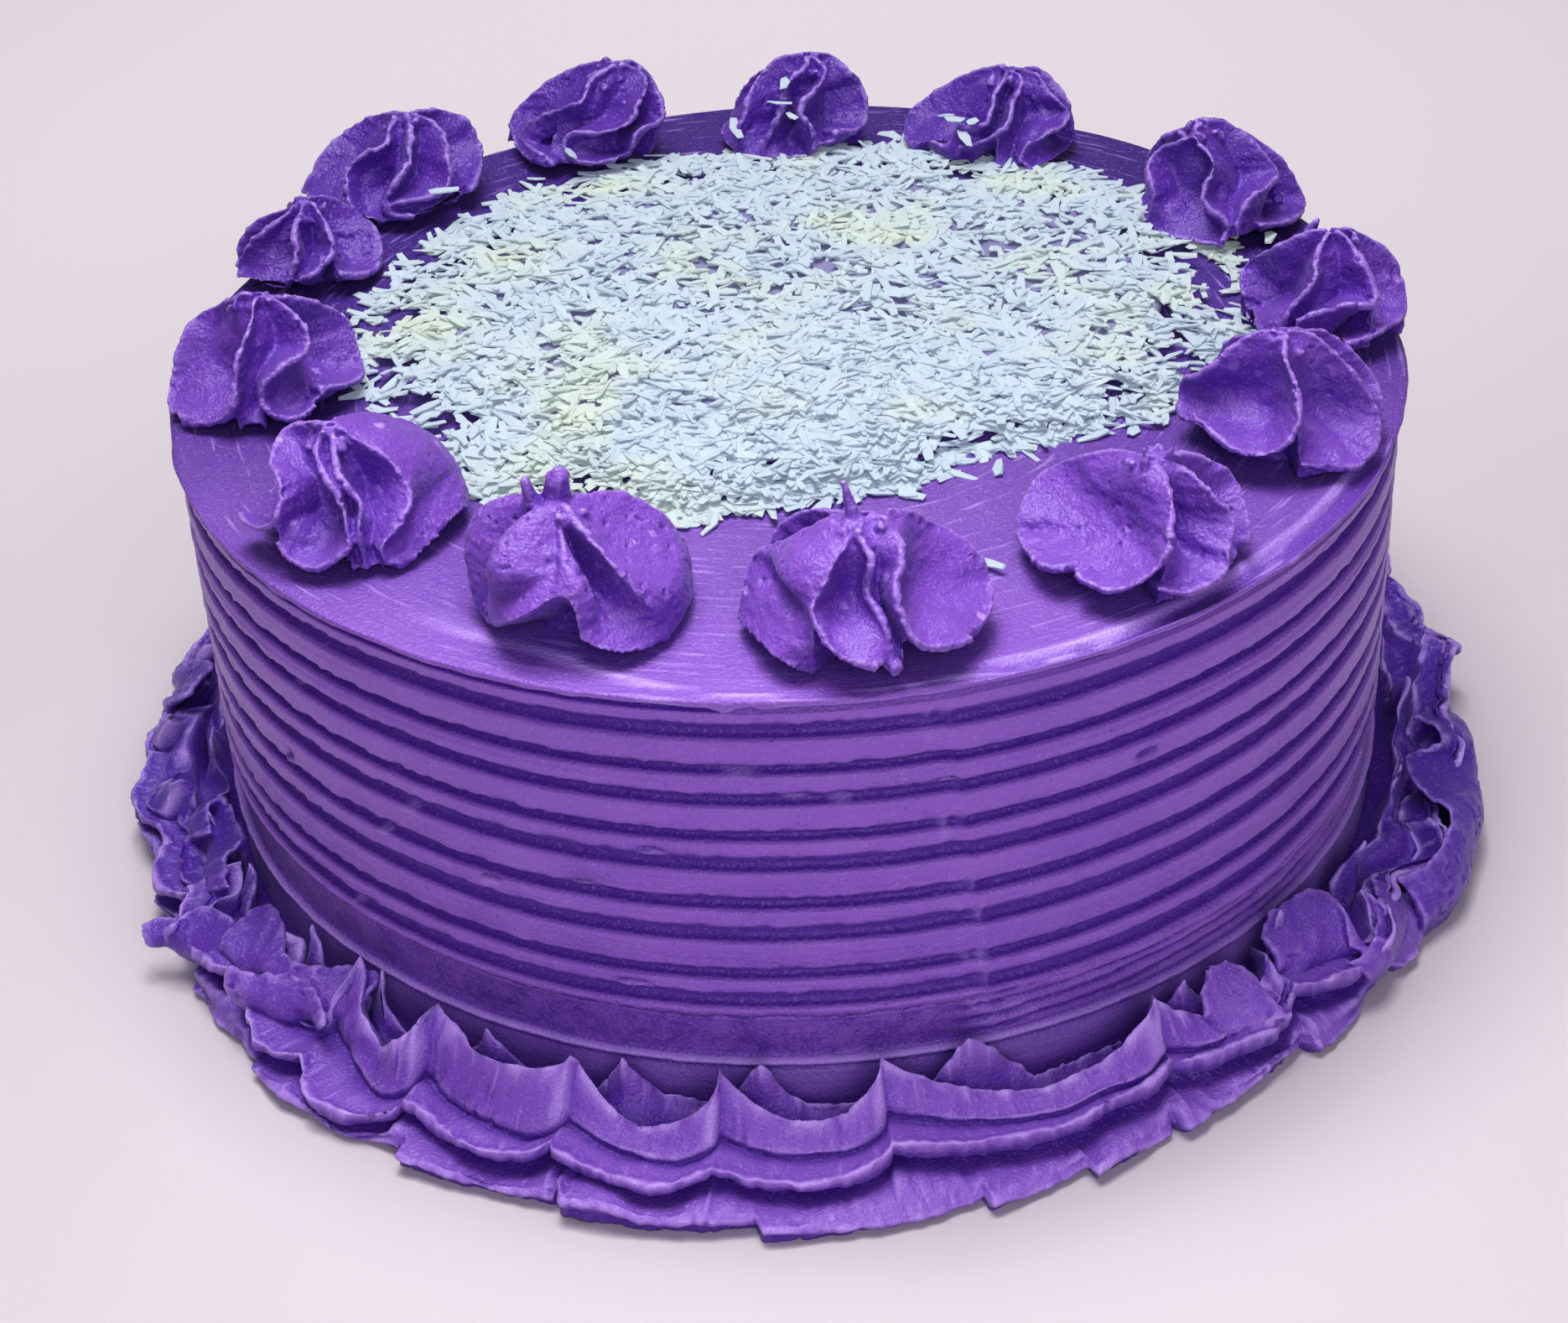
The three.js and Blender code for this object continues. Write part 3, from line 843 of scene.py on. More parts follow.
@dataclass
class Rosette:
    """One piped rosette: thin fins that radiate from a torn crown, with scooped petals between them."""

    name: str
    node: str
    place: tuple[float, float]
    height: float
    lean: tuple[float, float]
    fins: tuple[Fin, ...]
    seed: int
    triangles: int = 24000
    # (bearing, reach, height, thickness) along each torn bit.
    strands: tuple[tuple[tuple[float, float, float, float], ...], ...] = ()
    peaks: int = 9  # small points over the crown
    tear: float = 0.35  # how ragged the fins' edges are
    blade: float = 0.95  # thickness of a fin
    lift: float = 2.2  # of the petals' lips over the top
    # (reach, height) down the middle of a petal, as shares of its reach and the rosette's height: a steep
    # wall, a crease, and a floor that runs out to the lip.
    bed: tuple[tuple[float, float], ...] = (
        (0.05, 0.94), (0.2, 0.76), (0.3, 0.55), (0.37, 0.34), (0.62, 0.25), (0.82, 0.16),
    )
    voxel: float = 0.34
    steps: int = 48

    def _axis(self, height: np.ndarray) -> np.ndarray:
        """Points on the leaning axis at heights."""
        share = height / self.height
        return np.stack([self.lean[0] * share, self.lean[1] * share, height], axis=-1)

    def _edge(self, fin: Fin, hooked: bool) -> np.ndarray:
        """A fin's free edge from the crown down.

        Args:
            fin: The fin.
            hooked: Whether to follow the hook along the foot.

        Returns:
            (bearing, reach, height) of each step, of shape (steps, 3).
        """
        line = list(fin.edge)
        if fin.hook and not hooked:
            bearing, reach, height = line[fin.stem - 1]
            line = [*line[: fin.stem], (bearing, reach * 0.98, height * 0.4), (bearing, reach * 0.96, 0.5)]
        return self._even(line)

    def _even(self, line: list | Line) -> np.ndarray:
        """A smooth line from the crown through points, evenly stepped.

        Args:
            line: (bearing, reach, height) of each point.

        Returns:
            (bearing, reach, height) of each step, of shape (steps, 3).
        """
        dense = through(np.array([(line[0][0], 0.8, self.height), *line]), 200)
        steps = np.linalg.norm(np.diff(self._to_space(dense), axis=0), axis=1)
        lengths = np.concatenate([[0], np.cumsum(steps)])
        even = np.linspace(0, lengths[-1], self.steps)
        return np.stack([np.interp(even, lengths, column) for column in dense.T], axis=-1)

    def _to_space(self, spots: np.ndarray) -> np.ndarray:
        """Turns (bearing, reach, height) about the axis into points."""
        axis = self._axis(spots[..., 2])
        return axis + polar(spots[..., 0], spots[..., 1], 0 * spots[..., 2])

    def _petal(self, left: Fin, right: Fin) -> tuple[np.ndarray, np.ndarray]:
        """The scooped petal between two fins, closed back to the axis.

        Args:
            left: The fin at the lower bearing.
            right: The next fin.

        Returns:
            Points and quads.
        """
        turn = 0.0
        while right.middle() + turn < left.middle():
            turn += TURN
        edge_left = self._edge(left, left.hook > 0)
        edge_right = self._edge(right, right.hook < 0) + [turn, 0, 0]
        across = 41
        u = np.linspace(0, 1, across)[:, None, None]
        if left.petal:
            edges = [self._to_space(line) for line in (edge_left, self._even(left.petal), edge_right)]
            outer = edges[0] * (1 - u) * (1 - 2 * u) + edges[1] * 4 * u * (1 - u) + edges[2] * u * (2 * u - 1)
            return self.close(np.stack([outer, self._inner(u)]))
        v = np.linspace(0, 1, self.steps)[None, :, None]
        # The valley lies close under the fin whose hook makes this petal's lip.
        side = 1 - u if left.hook > 0 and right.hook >= 0 else u
        ramp = 0.5 * smooth(side / 0.1) + 0.5 * smooth(side / 0.65)
        hollow = ramp * (1 - smooth((side - 0.92) / 0.08)) * np.ones_like(v)
        spots = edge_left[None] * (1 - u) + edge_right[None] * u
        wide = max(edge_left[:, 1].max(), edge_right[:, 1].max())
        ends = spots[:, -1, 1:].mean(axis=0)
        line = [(r * wide, z * self.height) for r, z in self.bed] + [(ends[0], max(ends[1], self.lift))]
        along = v[0, :, 0] * (len(line) - 1)
        bed = np.stack(
            [np.interp(along, np.arange(len(line)), column) for column in np.array(line).T], axis=-1
        )
        hollow = hollow[..., 0]
        sunk = np.minimum(bed[None, :, 1], spots[..., 2] + 2.0)
        spots[..., 1] = spots[..., 1] * (1 - hollow) + bed[None, :, 0] * hollow
        spots[..., 2] = spots[..., 2] * (1 - hollow) + sunk * hollow
        return self.close(np.stack([self._to_space(spots), self._inner(u)]))

    def _inner(self, u: np.ndarray) -> np.ndarray:
        """The axis, repeated for each of a petal's columns, as the petal's inner side."""
        down = np.linspace(0.85, 0.0, self.steps) * self.height
        inner = self._axis(down)[None] + 0 * u
        inner[..., 2] -= 0.4 * np.linspace(0, 1, self.steps)
        return inner

    def _blade_sheet(self, fin: Fin) -> tuple[np.ndarray, np.ndarray]:
        """The fin itself, a thin sheet from its ragged free edge back to the axis.

        Args:
            fin: The fin.

        Returns:
            Points and quads.
        """
        edge = self._to_space(self._edge(fin, True))
        edge += self.tear * Grain(self.seed + 7).torn(edge)
        down = np.linspace(0.85, 0.03, self.steps) * self.height
        axis = self._axis(down)
        depth = np.linspace(0, 1, 6)[:, None, None]
        sheet = edge[None] * (1 - depth) + axis[None] * depth
        along = np.gradient(sheet, axis=1)
        inward = axis[None] - edge[None]
        normal = np.cross(along, inward + 0 * sheet)
        normal /= np.linalg.norm(normal, axis=-1, keepdims=True) + 1e-9
        half = 0.5 * self.blade * (1 + 0.8 * depth)
        return self.close(np.stack([sheet + normal * half, sheet - normal * half]))

    def _strand(self, path: np.ndarray) -> tuple[np.ndarray, np.ndarray]:
        """A torn bit of frosting along a path.

        Args:
            path: (x, y, z, thickness) of each point.

        Returns:
            Points and quads.
        """
        sides, rounds = 8, 10
        dense = through(path, rounds)
        along = np.gradient(dense[:, :3], axis=0)
        along /= np.linalg.norm(along, axis=1, keepdims=True) + 1e-9
        across = np.cross(along, [0.31, 0.52, 0.8])
        across /= np.linalg.norm(across, axis=1, keepdims=True) + 1e-9
        turn = np.radians(np.arange(sides) * TURN / sides)[None, :, None]
        around = across[:, None] * np.cos(turn) + np.cross(along, across)[:, None] * np.sin(turn)
        rings = dense[:, None, :3] + around * 0.5 * dense[:, None, 3:]
        count = len(dense) * sides
        cap = np.array([[0, 1, 2, 3], [0, 3, 4, 5], [0, 5, 6, 7]])
        return rings.reshape(-1, 3), np.concatenate([ring_faces(len(dense), sides), cap, count - 1 - cap])

    def _torn_bits(self) -> list[tuple[np.ndarray, np.ndarray]]:
        """The bits torn up where the nozzle pulled away.

        Returns:
            Points and quads of the ones that stand out, and of small points over the crown.
        """
        chance = np.random.default_rng(self.seed)
        bits = []
        for strand in self.strands:
            at = np.array(strand)
            bits.append(self._strand(np.concatenate([self._to_space(at[:, :3]), at[:, 3:]], axis=1)))
        for _ in range(self.peaks):
            foot = self._axis(np.array(self.height * 0.9))
            foot = foot + np.append(chance.normal(0, 1.9, 2), chance.uniform(-1.8, 0.4))
            way = np.append(chance.normal(0, 0.9, 2), chance.uniform(0.8, 2.0))
            steps = ((-0.4, 1.9), (0.3, 1.6), (1.0, 0.6))
            path = np.array([np.append(foot + way * rise, wide) for rise, wide in steps])
            bits.append(self._strand(path))
        return bits

    @staticmethod
    def close(shell: np.ndarray) -> tuple[np.ndarray, np.ndarray]:
        """Closes two facing grids into one solid.

        Args:
            shell: Points of shape (2, rows, columns, 3).

        Returns:
            Points and quads.
        """
        _, rows, columns, _ = shell.shape
        index = np.arange(2 * rows * columns).reshape(2, rows, columns)

        def strip(a: np.ndarray, b: np.ndarray) -> np.ndarray:
            """Quads between two lines of point numbers."""
            return np.stack([a[:-1], a[1:], b[1:], b[:-1]], axis=-1)

        front = ring_faces(rows, columns, closed=False)
        back = front[:, ::-1] + rows * columns
        sides = [
            strip(index[0, ::-1, 0], index[1, ::-1, 0]),
            strip(index[0, :, -1], index[1, :, -1]),
            strip(index[0, 0, :], index[1, 0, :]),
            strip(index[0, -1, ::-1], index[1, -1, ::-1]),
        ]
        return shell.reshape(-1, 3), np.concatenate([front, back, *sides])

    def _core(self) -> tuple[np.ndarray, np.ndarray]:
        """The solid middle that the fins stand on.

        Returns:
            Points and quads.
        """
        reach = np.mean([max(reach for _, reach, _ in fin.edge) for fin in self.fins])
        rows, columns = 14, 24
        share = np.linspace(0, 1, rows)[:, None]
        bearing = (np.arange(columns) * TURN / columns)[None]
        wide = reach * (0.02 + 0.4 * share**0.75) + 0 * bearing
        points = self._axis(self.height * (0.93 * (1 - share)) + 0 * bearing - 0.4 * share)
        points = points + polar(bearing, wide, 0 * wide)
        faces = ring_faces(rows, columns)
        caps = np.array([self._axis(np.array(0.94 * self.height)), [0, 0, -0.4]])
        count = rows * columns
        around = np.arange(columns)
        after = (around + 1) % columns
        crown, foot, ring = np.full(columns, count), np.full(columns, count + 1), count - columns
        top = np.stack([around, crown, crown, after], axis=-1)
        low = np.stack([ring + after, foot, foot, ring + around], axis=-1)
        return np.concatenate([points.reshape(-1, 3), caps]), np.concatenate([faces, top, low])

    def build(self, finish: bpy.types.Material) -> bpy.types.Object:
        """Builds the rosette as one skin over its core, fins and petals.

        Args:
            finish: The frosting.

        Returns:
            One closed piece.
        """
        parts = [self._core(), *self._torn_bits()]
        parts += [self._blade_sheet(fin) for fin in self.fins if fin.sharp]
        parts += [self._petal(a, b) for a, b in zip(self.fins, self.fins[1:] + self.fins[:1])]
        cloud, faces = joined(parts)
        cloud[:, :2] += self.place
        cloud[:, 2] += TOP
        piece = make_mesh(self.name, cloud, faces)
        skin_over(piece, self.voxel, 1)
        layers = [(0.8, 0.12), (2.2, 0.14), (5.0, 0.3), ((3.5, 3.5, 0.7), 0.12)]
        push(piece, Grain(self.seed), layers, pits=0.35)
        decimate(piece, self.triangles)
        piece.data.materials.append(finish)
        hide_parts(self.node)
        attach(piece, "root")
        return piece


@dataclass
class RosetteRing:
    """The thirteen rosettes along the rim of the top."""

    @staticmethod
    def _back(*bearings: float, reach: float = 15.0, height: float = 20.0) -> tuple[Fin, ...]:
        """Plain fins for the side that faces away.

        Args:
            bearings: Bearing of each fin.
            reach: How far their feet stand from the axis.
            height: The rosette's height.

        Returns:
            The fins.
        """
        shape = ((0.0, 0.3, 0.92), (2.0, 0.76, 0.7), (5.0, 1.0, 0.38), (11.0, 1.0, 0.1))
        return tuple(Fin(tuple((b + turn, r * reach, z * height) for turn, r, z in shape)) for b in bearings)

    def rosettes(self) -> list[Rosette]:
        """Each rosette with its own fins.

        Returns:
            The rosettes in the order of the CAD.
        """
        back = self._back
        rows = [
            ((-31.9, -76.4), 19.2, -1.7, 44000, (
                Fin(((-179, 2.2, 18.2), (-178, 4.4, 16.6), (-174, 6.4, 14.8), (-170, 8.2, 13),
                     (-167, 10.2, 11), (-166, 12, 8), (-164, 13.5, 4), (-163, 14, 1.5)), sharp=False,
                    petal=((-150, 3, 19), (-146, 7.4, 17.6), (-140, 11.4, 15.4), (-134, 13.8, 12.6),
                           (-129, 12.2, 10.4), (-125, 14, 8.8), (-121, 16.2, 7.6))),
                Fin(((-100, 2, 19.1), (-96, 3.6, 17.6), (-93, 5.4, 15.8), (-93, 7.4, 14.2), (-96, 9.8, 13),
                     (-98, 12.2, 11.8), (-98, 13.9, 10.8)), sharp=False,
                    petal=((-90, 3, 18.6), (-88, 6.2, 16), (-85, 9.4, 14.6), (-82, 12.4, 13),
                           (-87, 14.6, 10.6))),
                Fin(((-84, 2.6, 18.4), (-84, 5.4, 16), (-79, 8.2, 14.4), (-74, 10.6, 13), (-72, 12.4, 11.2),
                     (-74, 14, 9), (-80, 15.2, 7), (-86, 16, 5.4)),
                    sharp=False,
                    petal=((-80, 3, 16), (-76, 4.4, 11.6), (-69, 7.0, 9), (-64, 10, 7.2), (-64, 13.5, 5.4),
                           (-67, 17.6, 3))),
                Fin(((-64, 1.9, 19.6), (-60, 5.5, 18), (-57, 9, 16.4), (-54, 12, 14.4), (-50, 14.2, 11.6),
                     (-46, 15.6, 9), (-41, 16.6, 6.3), (-38, 17, 3.5), (-39, 17.2, 1.5)),
                    petal=((-22, 2.5, 18.2), (-26, 4.8, 16.2), (-24, 7.4, 13.8), (-20, 10.6, 11.6),
                           (-17, 13.8, 9.6), (-13, 16.4, 7), (-12, 17, 2.5))),
                Fin(((40, 4, 18.4), (38, 9, 17.4), (33, 13, 14.6), (26, 16, 11), (20, 17.6, 7.5),
                     (16, 17.6, 4), (13, 17, 1.5)), sharp=False),
                Fin(((70, 4, 18.2), (72, 9, 15), (74, 12.5, 9), (75, 13.5, 2)), sharp=False),
                Fin(((100, 4, 18), (102, 9.5, 16), (104, 13.5, 10), (106, 14, 3)), sharp=False),
                Fin(((124, 4, 17.6), (125, 9, 15), (127, 12.5, 10), (128, 13.5, 3)), sharp=False,
                    petal=((156, 4, 18.8), (156, 8.8, 17.4), (156, 12.8, 15), (158, 15.8, 12), (163, 16, 9),
                           (170, 15, 4)))),
                (((172, 3.2, 15.5, 3.6), (168, 4.0, 19.4, 2.4), (163, 4.6, 22.4, 1.0)),
                 ((110, 1.2, 16.5, 4.4), (100, 1.4, 20.0, 4.2), (80, 1.8, 22.4, 3.4), (80, 2.0, 23.5, 1.2)))),
            ((9.7, -85.0), 19.6, 0.2, 44000, (
                Fin(((-200, 4, 18.5), (-195, 9, 16), (-201, 14.5, 12), (-203, 17.5, 9), (-195, 18, 6),
                     (-183, 18.5, 2.5)),
                    petal=((-179, 3.5, 19), (-157, 7, 17.5), (-153, 10.5, 16), (-154, 13, 13),
                           (-158, 11.5, 9.5), (-147, 14, 8), (-140, 18, 4))),
                Fin(((-175, 2, 19.5), (-125, 5, 18.5), (-122, 8.5, 17), (-123, 11.5, 14.5),
                     (-125, 13.5, 12.5), (-122, 15, 10.5), (-116, 16, 9), (-108, 17, 7.5), (-97, 17.5, 6),
                     (-88, 18, 5)),
                    6, 1,
                    petal=((-104, 3, 19), (-102, 5.5, 16), (-110, 6, 11.5), (-105, 7.5, 9), (-95, 12.5, 8),
                           (-86, 17.5, 5.5))),
                Fin(((-104, 4, 19), (-87, 7, 17.5), (-87, 8.5, 15.5), (-90, 9, 12.5), (-84, 11.5, 10.5),
                     (-79, 14, 8), (-78, 15.5, 4)),
                    petal=((-73, 5, 17.5), (-72, 6.5, 13.5), (-74, 8, 10), (-77, 10.5, 7), (-78, 13, 4))),
                Fin(((-17, 3, 19.5), (-40, 6, 18), (-52, 8.5, 17), (-65, 10.5, 15), (-72, 13, 13),
                     (-71, 15, 10.5), (-68, 17, 8), (-61, 17.5, 6.5), (-49, 18, 5.5), (-37, 18.5, 5)),
                    6, 1,
                    petal=((-23, 5, 17.5), (-26, 6.5, 13.5), (-32, 7.5, 10), (-33, 10, 8), (-40, 14, 7),
                           (-39, 18, 5.5))),
                Fin(((17, 3.5, 19), (30, 7.5, 17.5), (33, 12.5, 13.5), (24, 15.5, 11.5), (16, 17.5, 9),
                     (10, 18.5, 6), (3, 18.5, 5), (-14, 18, 4.5), (-30, 17, 4)), 6, -1),
                *back(88, height=18),
                Fin(((135, 4, 18.5), (133, 11, 16), (138, 16, 12), (146, 16.5, 8), (150, 16, 2)))),
                (((-150, 1.5, 18.5, 2.2), (-190, 2, 21.5, 1.8), (-200, 3, 24.5, 0.8)),
                 ((-82, 12, 5, 3.0), (-77, 16.5, 3.5, 2.2)), ((-60, 3, 18, 1.8), (-50, 4, 19.5, 1.3)))),
            ((49.8, -69.1), 17.2, 2.7, 44000, (
                Fin(((-240, 5, 16), (-229, 12, 13), (-226, 17, 9.5), (-215, 18.5, 7), (-200, 18, 5),
                     (-192, 17.5, 3), (-170, 16.5, 3.5), (-152, 16.5, 4), (-141, 15.5, 5)),
                    5, 1,
                    petal=((-140, 3, 15.5), (-146, 3.4, 12), (-140, 4, 8), (-137, 8, 5.2), (-137, 13.5, 4))),
                Fin(((-67, 3, 17), (-72, 6.5, 15.5), (-74, 9.5, 13.5), (-78, 12, 11.5), (-81, 14, 9.5),
                     (-87, 15, 7.5), (-95, 16, 6), (-107, 16.5, 4.5), (-120, 16.5, 4.5), (-132, 15.5, 5)),
                    5, -1,
                    petal=((-42, 3.4, 15.5), (-39, 4.2, 12), (-34, 5, 7.5), (-41, 8, 5), (-57, 12.5, 4.2),
                           (-70, 16.5, 3.2))),
                Fin(((-5, 3, 16.5), (-19, 7, 15), (-25, 11, 12.5), (-22, 13, 10.5), (-27, 14.5, 8.5),
                     (-38, 15.5, 6.5), (-42, 16.5, 4.5), (-54, 16.5, 3.5), (-72, 16.5, 3.5),
                     (-86, 16, 4.5)), 5, -1),
                Fin(((40, 5, 16), (30, 12, 13), (20, 15.5, 9.5), (5, 16, 7), (-8, 17, 3))),
                *back(92, height=16)), (((-120, 2, 16, 1.8), (-140, 2.5, 20, 0.9)),
                ((0, 2, 16, 1.8), (-5, 3, 20, 0.8)))),
            ((77.1, -36.0), 20.0, -0.7, 38000, (
                Fin(((-190, 5, 18.5), (-181, 9.5, 15), (-185, 12.5, 12), (-198, 15.5, 9), (-198, 16, 6),
                     (-185, 15.5, 4)),
                    petal=((-125, 3, 17), (-138, 3.4, 12.5), (-137, 4, 8.5), (-142, 8, 6.2), (-152, 14, 6))),
                Fin(((-78, 2, 19.5), (-91, 4.5, 18.5), (-89, 8, 16.5), (-86, 10, 14.5), (-85, 11.5, 12.5),
                     (-87, 13.5, 10.5), (-95, 15, 7.5), (-109, 15.5, 5.5), (-125, 15.5, 5.5), (-145, 15, 7),
                     (-165, 15, 7.5)),
                    6, -1,
                    petal=((-45, 3.2, 17), (-45, 4.2, 12), (-45, 5.2, 7), (-52, 10, 4.8), (-65, 16, 3.2))),
                Fin(((-5, 3, 19.5), (-8, 7, 17.5), (-14, 10.5, 14), (-14, 13, 10.5), (-15, 14.5, 7.5),
                     (-18, 15.5, 5.5), (-29, 16, 3), (-48, 16.5, 2), (-70, 16, 3), (-88, 15.5, 4.5)), 6, -1),
                Fin(((33, 4, 18.5), (30, 9.5, 16), (18, 13, 12.5), (11, 15.5, 9), (1, 16, 6.5),
                     (-6, 16.5, 3))),
                *back(60, 120, height=19)), ()),
            ((90.1, 0.0), 18.6, 0.2, 24000, (
                Fin(((-200, 5, 17), (-200, 10, 13.5), (-209, 13.5, 10.5), (-203, 15, 8), (-193, 14, 5)), 4,
                    1),
                Fin(((-126, 5, 16.5), (-116, 8, 14.5), (-120, 10, 12), (-127, 11.5, 10), (-131, 13, 7),
                     (-134, 13, 2))),
                Fin(((-41, 3.5, 17.5), (-50, 7.5, 14.5), (-52, 10, 12), (-60, 12, 9.5), (-86, 11.5, 10),
                     (-108, 12, 9), (-122, 13, 7.5)), 4, -1),
                Fin(((25, 5, 17), (13, 11, 12.5), (4, 12.5, 8.5), (-18, 13.5, 5), (-40, 13.5, 5),
                     (-64, 13.5, 4.5), (-85, 13.5, 4)), 4, -1),
                *back(65, reach=13, height=18)), ()),
            ((79.3, 43.8), 19.0, -4.4, 24000, (
                Fin(((-129, 4, 18), (-172, 8, 15), (-168, 11.5, 12), (-150, 13.5, 8), (-160, 15, 2))),
                Fin(((-125, 3, 18.5), (-90, 8, 15.5), (-102, 11, 11.5), (-104, 13, 9), (-90, 14.5, 5.5),
                     (-98, 16, 2))),
                Fin(((30, 4, 18), (-7, 9, 14.5), (-19, 12, 10.5), (-38, 12.5, 10), (-68, 13, 9),
                     (-85, 14.5, 5)), 3, -1),
                Fin(((40, 5, 17.5), (14, 12.5, 10.5), (5, 15, 5.5), (-7, 15, 2), (-68, 14.5, 4.5)), 4, -1),
                *back(85, 140, reach=14, height=18)), ()),
            ((40.9, 78.6), 16.0, 3.2, 22000, (
                Fin(((-228, 3, 15.5), (-222, 9, 12.5), (-212, 13, 9.5), (-200, 17, 5.5), (-188, 17.5, 2.5),
                     (-165, 16.5, 2)), 4, 1),
                Fin(((-109, 4, 15.5), (-112, 8, 13.5), (-109, 11, 11), (-114, 12.5, 9.5),
                     (-134, 13.5, 8.5)), 4, -1),
                Fin(((-60, 4, 15.5), (-85, 8, 13), (-90, 11.5, 10.5), (-97, 13, 8.5), (-125, 15, 5.5)), 4,
                    -1),
                Fin(((4, 4, 15), (-26, 9.5, 12), (-22, 13, 8.5), (-35, 14, 7.5), (-70, 14.5, 6.5),
                     (-78, 15.5, 4), (-70, 17, 2))),
                Fin(((20, 6, 14.5), (-10, 11.5, 10.5), (-15, 13.5, 8), (-18, 15.5, 3))),
                *back(70, reach=14, height=15)), ()),
            ((2.8, 85.5), 17.6, 3.8, 24000, (
                Fin(((-200, 5, 16.5), (-172, 9.5, 13), (-150, 12, 10), (-145, 14, 6), (-143, 14, 2))),
                Fin(((-90, 3.5, 17), (-117, 7, 15), (-111, 10.5, 11.5), (-115, 13, 7.5), (-118, 14, 2))),
                Fin(((-40, 5, 16), (-79, 8.5, 13.5), (-93, 11, 11), (-80, 13, 8), (-76, 14.5, 4))),
                Fin(((30, 5, 16.5), (0, 8.5, 14), (0, 11.5, 11), (-18, 14, 6), (-34, 14, 5),
                     (-59, 13.5, 6.5)), 4, -1),
                *back(80, 135, reach=14, height=16.5)), ()),
            ((-35.6, 86.1), 17.4, 6.5, 24000, (
                Fin(((-225, 6, 16), (-215, 12, 12.5), (-204, 15, 9.5), (-195, 17.5, 5.5), (-172, 15.5, 3),
                     (-147, 15, 2.5), (-118, 15, 3)), 4, 1),
                Fin(((-139, 5.5, 16), (-127, 9, 13), (-144, 10.5, 11.5), (-178, 14, 6)), 3, -1),
                Fin(((-6, 5.5, 15.5), (-49, 9.5, 13), (-66, 12, 10), (-90, 12.5, 8.5), (-115, 12.5, 8.5),
                     (-119, 13.5, 6.5), (-105, 14.5, 4), (-72, 14.5, 3.5))),
                Fin(((42, 5, 16), (0, 8, 13.5), (-18, 12, 9.5), (-26, 13, 8), (-54, 13, 8), (-62, 14, 5.5)),
                    4, -1),
                *back(75, reach=13.5, height=16)), ()),
            ((-71.3, 69.4), 16.4, 4.1, 24000, (
                Fin(((-225, 6, 15), (-221, 11, 12.5), (-200, 15, 8.5), (-185, 16.5, 5), (-177, 18, 2))),
                Fin(((-150, 3, 15.5), (-118, 7, 13.5), (-133, 10.5, 12), (-138, 13, 9.5), (-127, 15, 6),
                     (-115, 16, 3.5))),
                Fin(((-79, 6.5, 14.5), (-83, 11.5, 11), (-90, 13.5, 9), (-97, 15, 5), (-97, 16, 2))),
                Fin(((-9, 5, 15), (-38, 11, 11.5), (-46, 14, 8.5), (-56, 15.5, 6), (-88, 15.5, 5.5),
                     (-94, 16, 4), (-75, 16.5, 3))),
                Fin(((50, 8, 14.5), (34, 13, 11.5), (22, 15, 7.5), (-8, 15.5, 5.5), (-28, 16, 4)), 3, -1),
                *back(105, height=15)), ()),
            ((-83.8, 40.0), 14.0, 0.2, 22000, (
                Fin(((-140, 4.5, 12.5), (-153, 10, 9), (-160, 13, 4.5), (-154, 14, 2))),
                Fin(((-94, 4.5, 13), (-100, 7, 11.5), (-95, 10.5, 8), (-102, 12.5, 4))),
                Fin(((-43, 3, 13.5), (-53, 7.5, 11), (-58, 10.5, 8.5), (-70, 12, 6.5), (-92, 13, 4.5)), 3,
                    -1),
                Fin(((47, 5.5, 12.5), (30, 10, 8.5), (5, 12.5, 6), (-16, 13.5, 3), (-36, 14, 2.5),
                     (-60, 13, 4.5)), 4, -1),
                *back(110, 165, reach=13, height=13)), ()),
            ((-85.9, -5.3), 18.6, 0.3, 32000, (
                Fin(((-188, 3, 18.5), (-205, 8.5, 15), (-200, 12, 13), (-190, 13.5, 11), (-177, 15, 7),
                     (-166, 16.5, 3.5), (-152, 17.5, 1.5))),
                Fin(((-95, 3, 18.5), (-97, 7, 16), (-104, 10.5, 13), (-104, 13, 10), (-104, 15, 6.5),
                     (-110, 15.5, 3.5), (-123, 16, 2), (-140, 17, 1.5)), 5, -1),
                Fin(((-10, 3, 18), (-22, 5.5, 17), (-30, 9, 15), (-37, 11, 13), (-49, 12, 11.5),
                     (-67, 12.5, 11), (-81, 13.5, 9.5), (-86, 14.5, 7), (-83, 15.5, 5), (-75, 16, 3.5),
                     (-64, 16, 3), (-53, 15.5, 4)), 8, 1),
                Fin(((33, 4, 17), (33, 9, 14.5), (31, 15, 9.5), (18, 15.5, 5.5), (1, 16, 3), (-28, 15, 4.5),
                     (-45, 14, 6)), 4, -1),
                *back(95, 145, reach=14.5, height=17.5)), ()),
            ((-67.3, -49.7), 18.4, -2.0, 40000, (
                Fin(((-216, 6, 17), (-205, 9, 15), (-173, 10, 14), (-143, 11, 13.5), (-130, 12.5, 11.5),
                     (-129, 15, 9), (-136, 15.5, 7), (-155, 16.5, 5.5), (-171, 17, 5)), 6, -1),
                Fin(((-118, 4, 17.5), (-104, 7, 16), (-90, 10.5, 14), (-83, 13, 11), (-83, 15.5, 7.5),
                     (-86, 16.5, 5.5), (-102, 17, 3), (-116, 17, 3.5), (-128, 16, 5.5)), 6, -1),
                Fin(((-80, 4, 17.5), (-82, 8.5, 15.5), (-79, 10.5, 14), (-71, 12.5, 12), (-72, 13.5, 10.5),
                     (-76, 15, 8.5), (-78, 16, 2))),
                Fin(((-24, 4, 17), (-27, 9, 15), (-29, 12.5, 11.5), (-35, 14, 10), (-46, 15, 8.5),
